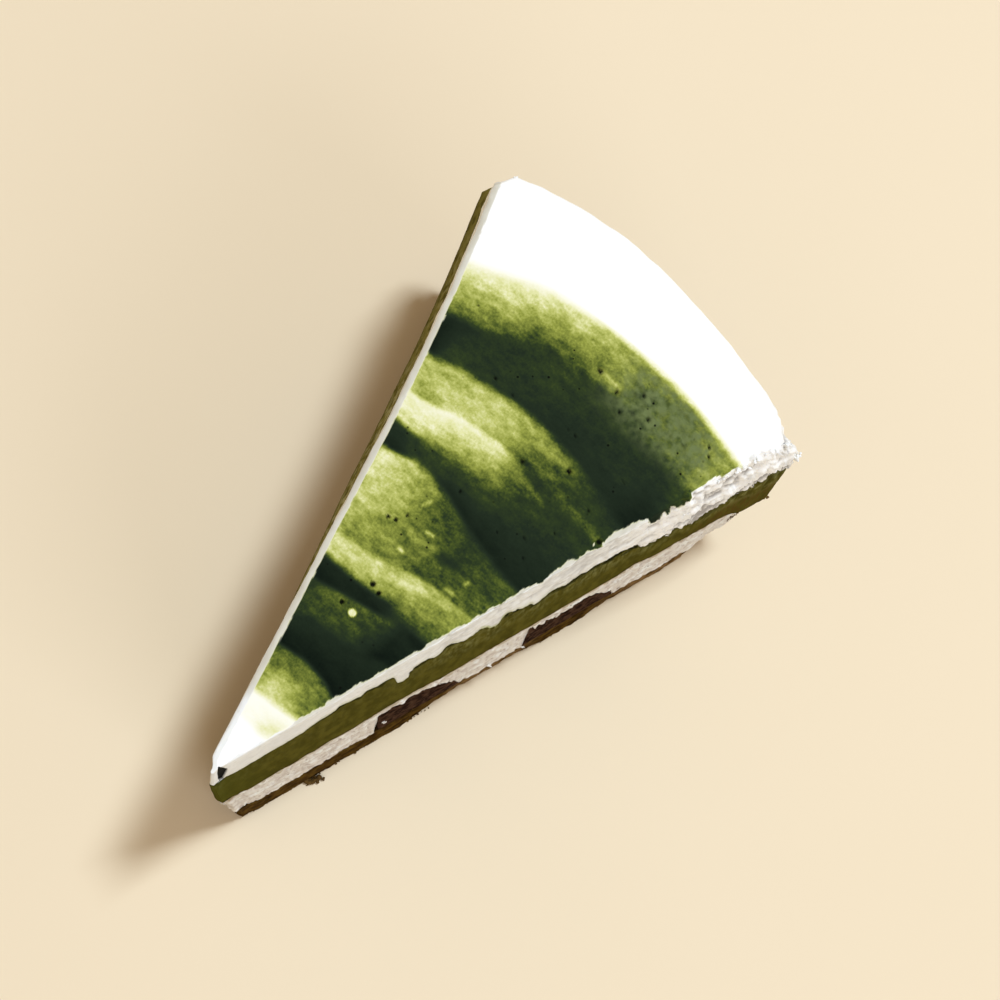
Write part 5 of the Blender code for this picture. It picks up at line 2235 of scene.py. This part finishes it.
@dataclass
class Studio:
    """Pale floor, soft light and the camera at the photograph's angle."""

    floor_half: float = 1.5
    camera_height: float = 0.40638
    camera_foot: Span = (-0.0828, -0.0255)
    tilt: float = math.radians(13.0)
    tilt_way: float = math.radians(117.0)
    bearing: float = math.radians(47.8524)
    lens: float = 90.0
    sensor: float = 36.0
    clip_start: float = 0.01
    sky: float = 0.42
    sky_colour: tuple[float, float, float, float] = (1.0, 0.78, 0.54, 1.0)
    key_power: float = 26.0
    key_colour: Triple = (0.92, 1.05, 1.20)
    key_way: Span = (0.974, -0.227)
    key_elevation: float = math.radians(70.4)
    key_size: float = 0.29
    fill_power: float = 11.6
    fill_colour: Triple = (0.95, 1.04, 1.20)
    fill_way: Triple = (-0.25, -1.0, 0.62)
    fill_size: float = 1.3
    light_distance: float = 2.0

    def floor(self) -> None:
        """Make the floor."""
        half = self.floor_half
        corners = [(-half, -half, 0.0), (half, -half, 0.0), (half, half, 0.0), (-half, half, 0.0)]
        mesh = bpy.data.meshes.new("floor")
        mesh.from_pydata(corners, [], [tuple(range(len(corners)))])
        mesh.materials.append(FloorFinish().material())
        floor = in_scene("floor", mesh)

    def area_light(self, name: str, way: Triple, size: float, power: float, colour: Triple) -> None:
        """Make a square light that faces the slice.

        Args:
            name: the light's name.
            way: direction from the slice to the light.
            size: its side.
            power: its power in watts.
            colour: its colour.
        """
        data = bpy.data.lights.new(name, "AREA")
        data.size = size
        data.energy = power
        data.color = colour
        light = in_scene(name, data)
        light.location = Vector(way).normalized() * self.light_distance
        light.rotation_mode = "QUATERNION"
        light.rotation_quaternion = Vector(way).to_track_quat("Z", "Y")

    def lights(self) -> None:
        """Make the key light, the fill and the sky."""
        key_way = (*self.key_way, math.tan(self.key_elevation))
        self.area_light("key", key_way, self.key_size, self.key_power, self.key_colour)
        self.area_light("fill", self.fill_way, self.fill_size, self.fill_power, self.fill_colour)
        world = bpy.data.worlds.new("sky")
        world.use_nodes = True
        background = world.node_tree.nodes["Background"]
        background.inputs["Color"].default_value = self.sky_colour
        background.inputs["Strength"].default_value = self.sky
        bpy.context.scene.world = world
        bpy.context.scene.view_settings.view_transform = "Standard"

    def camera(self) -> None:
        """Make the camera, tilted from straight down towards one side of the picture."""
        level_share = math.sin(self.tilt)
        down = Vector((level_share * math.cos(self.tilt_way), level_share * math.sin(self.tilt_way),
                       math.cos(self.tilt)))
        level = Vector((1.0, 0.0, 0.0)) - down * down.x
        level.normalize()
        other = down.cross(level)
        if other.y > 0.0:
            other = -other
        along = math.cos(self.bearing) * level + math.sin(self.bearing) * other
        left = -math.sin(self.bearing) * level + math.cos(self.bearing) * other
        turn = Matrix([(axis.x, -axis.y, -axis.z) for axis in (along, left, -down)])
        data = bpy.data.cameras.new("camera")
        data.lens = self.lens
        data.sensor_width = self.sensor
        data.clip_start = self.clip_start
        camera = in_scene("camera", data)
        camera.matrix_world = Matrix.Translation((*self.camera_foot, self.camera_height)) @ turn.to_4x4()
        bpy.context.scene.camera = camera


def place(piece: Object, slot: str, node: str = "") -> None:
    """Put a piece on the slice.

    Args:
        piece: the piece.
        slot: not used.
        node: name of the solid that it stands for, if any.
    """
    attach(piece, BODY)
    if node:
        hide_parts(node)
    LOG.info("%s for %s, %d vertices", piece.name, node or "no solid", len(piece.data.vertices))


def main() -> None:
    """Build the slice and its studio."""
    logging.basicConfig(level=logging.INFO, format="%(name)s: %(message)s")
    studio = Studio()
    studio.camera()
    studio.floor()
    studio.lights()
    layers = (
        (TopCream(), TopCreamFinish(), "top_cream"),
        (MatchaLayer(), MatchaFinish(), "matcha_layer"),
        (LowerCream(), LowerCreamFinish(), "lower_cream"),
        (BaseSponge(), SpongeFinish(), "base_sponge"),
    )
    for layer, finish, node in layers:
        place(layer.build(finish), layer.material_slot, node)
    for node in FILLING_RINGS:
        place(Filling(name=node + "_cut", node=node).build(FillingFinish()), "filling", node)
    crumb_finish = SpongeFinish(body=shown(104, 80, 42), crust=shown(72, 52, 26))
    flake_finish = LowerCreamFinish(
        bare=shown(238, 240, 238), pale=shown(248, 249, 248), shade=shown(222, 222, 220),
        fleck=shown(212, 210, 206))
    scattered = (
        ("sponge", SPONGE_HEAPS, crumb_finish, 5),
        ("lower_cream", LOWER_HEAPS, LowerCreamFinish(), 7),
        ("top_cream", CREAM_HEAPS, flake_finish, 9),
    )
    for slot, heaps, finish, seed in scattered:
        crumbs = Crumbs(name=slot + "_crumbs", material_slot=slot, heaps=heaps, seed=seed)
        place(crumbs.build(finish), crumbs.material_slot)


if __name__ == "__main__":
    main()
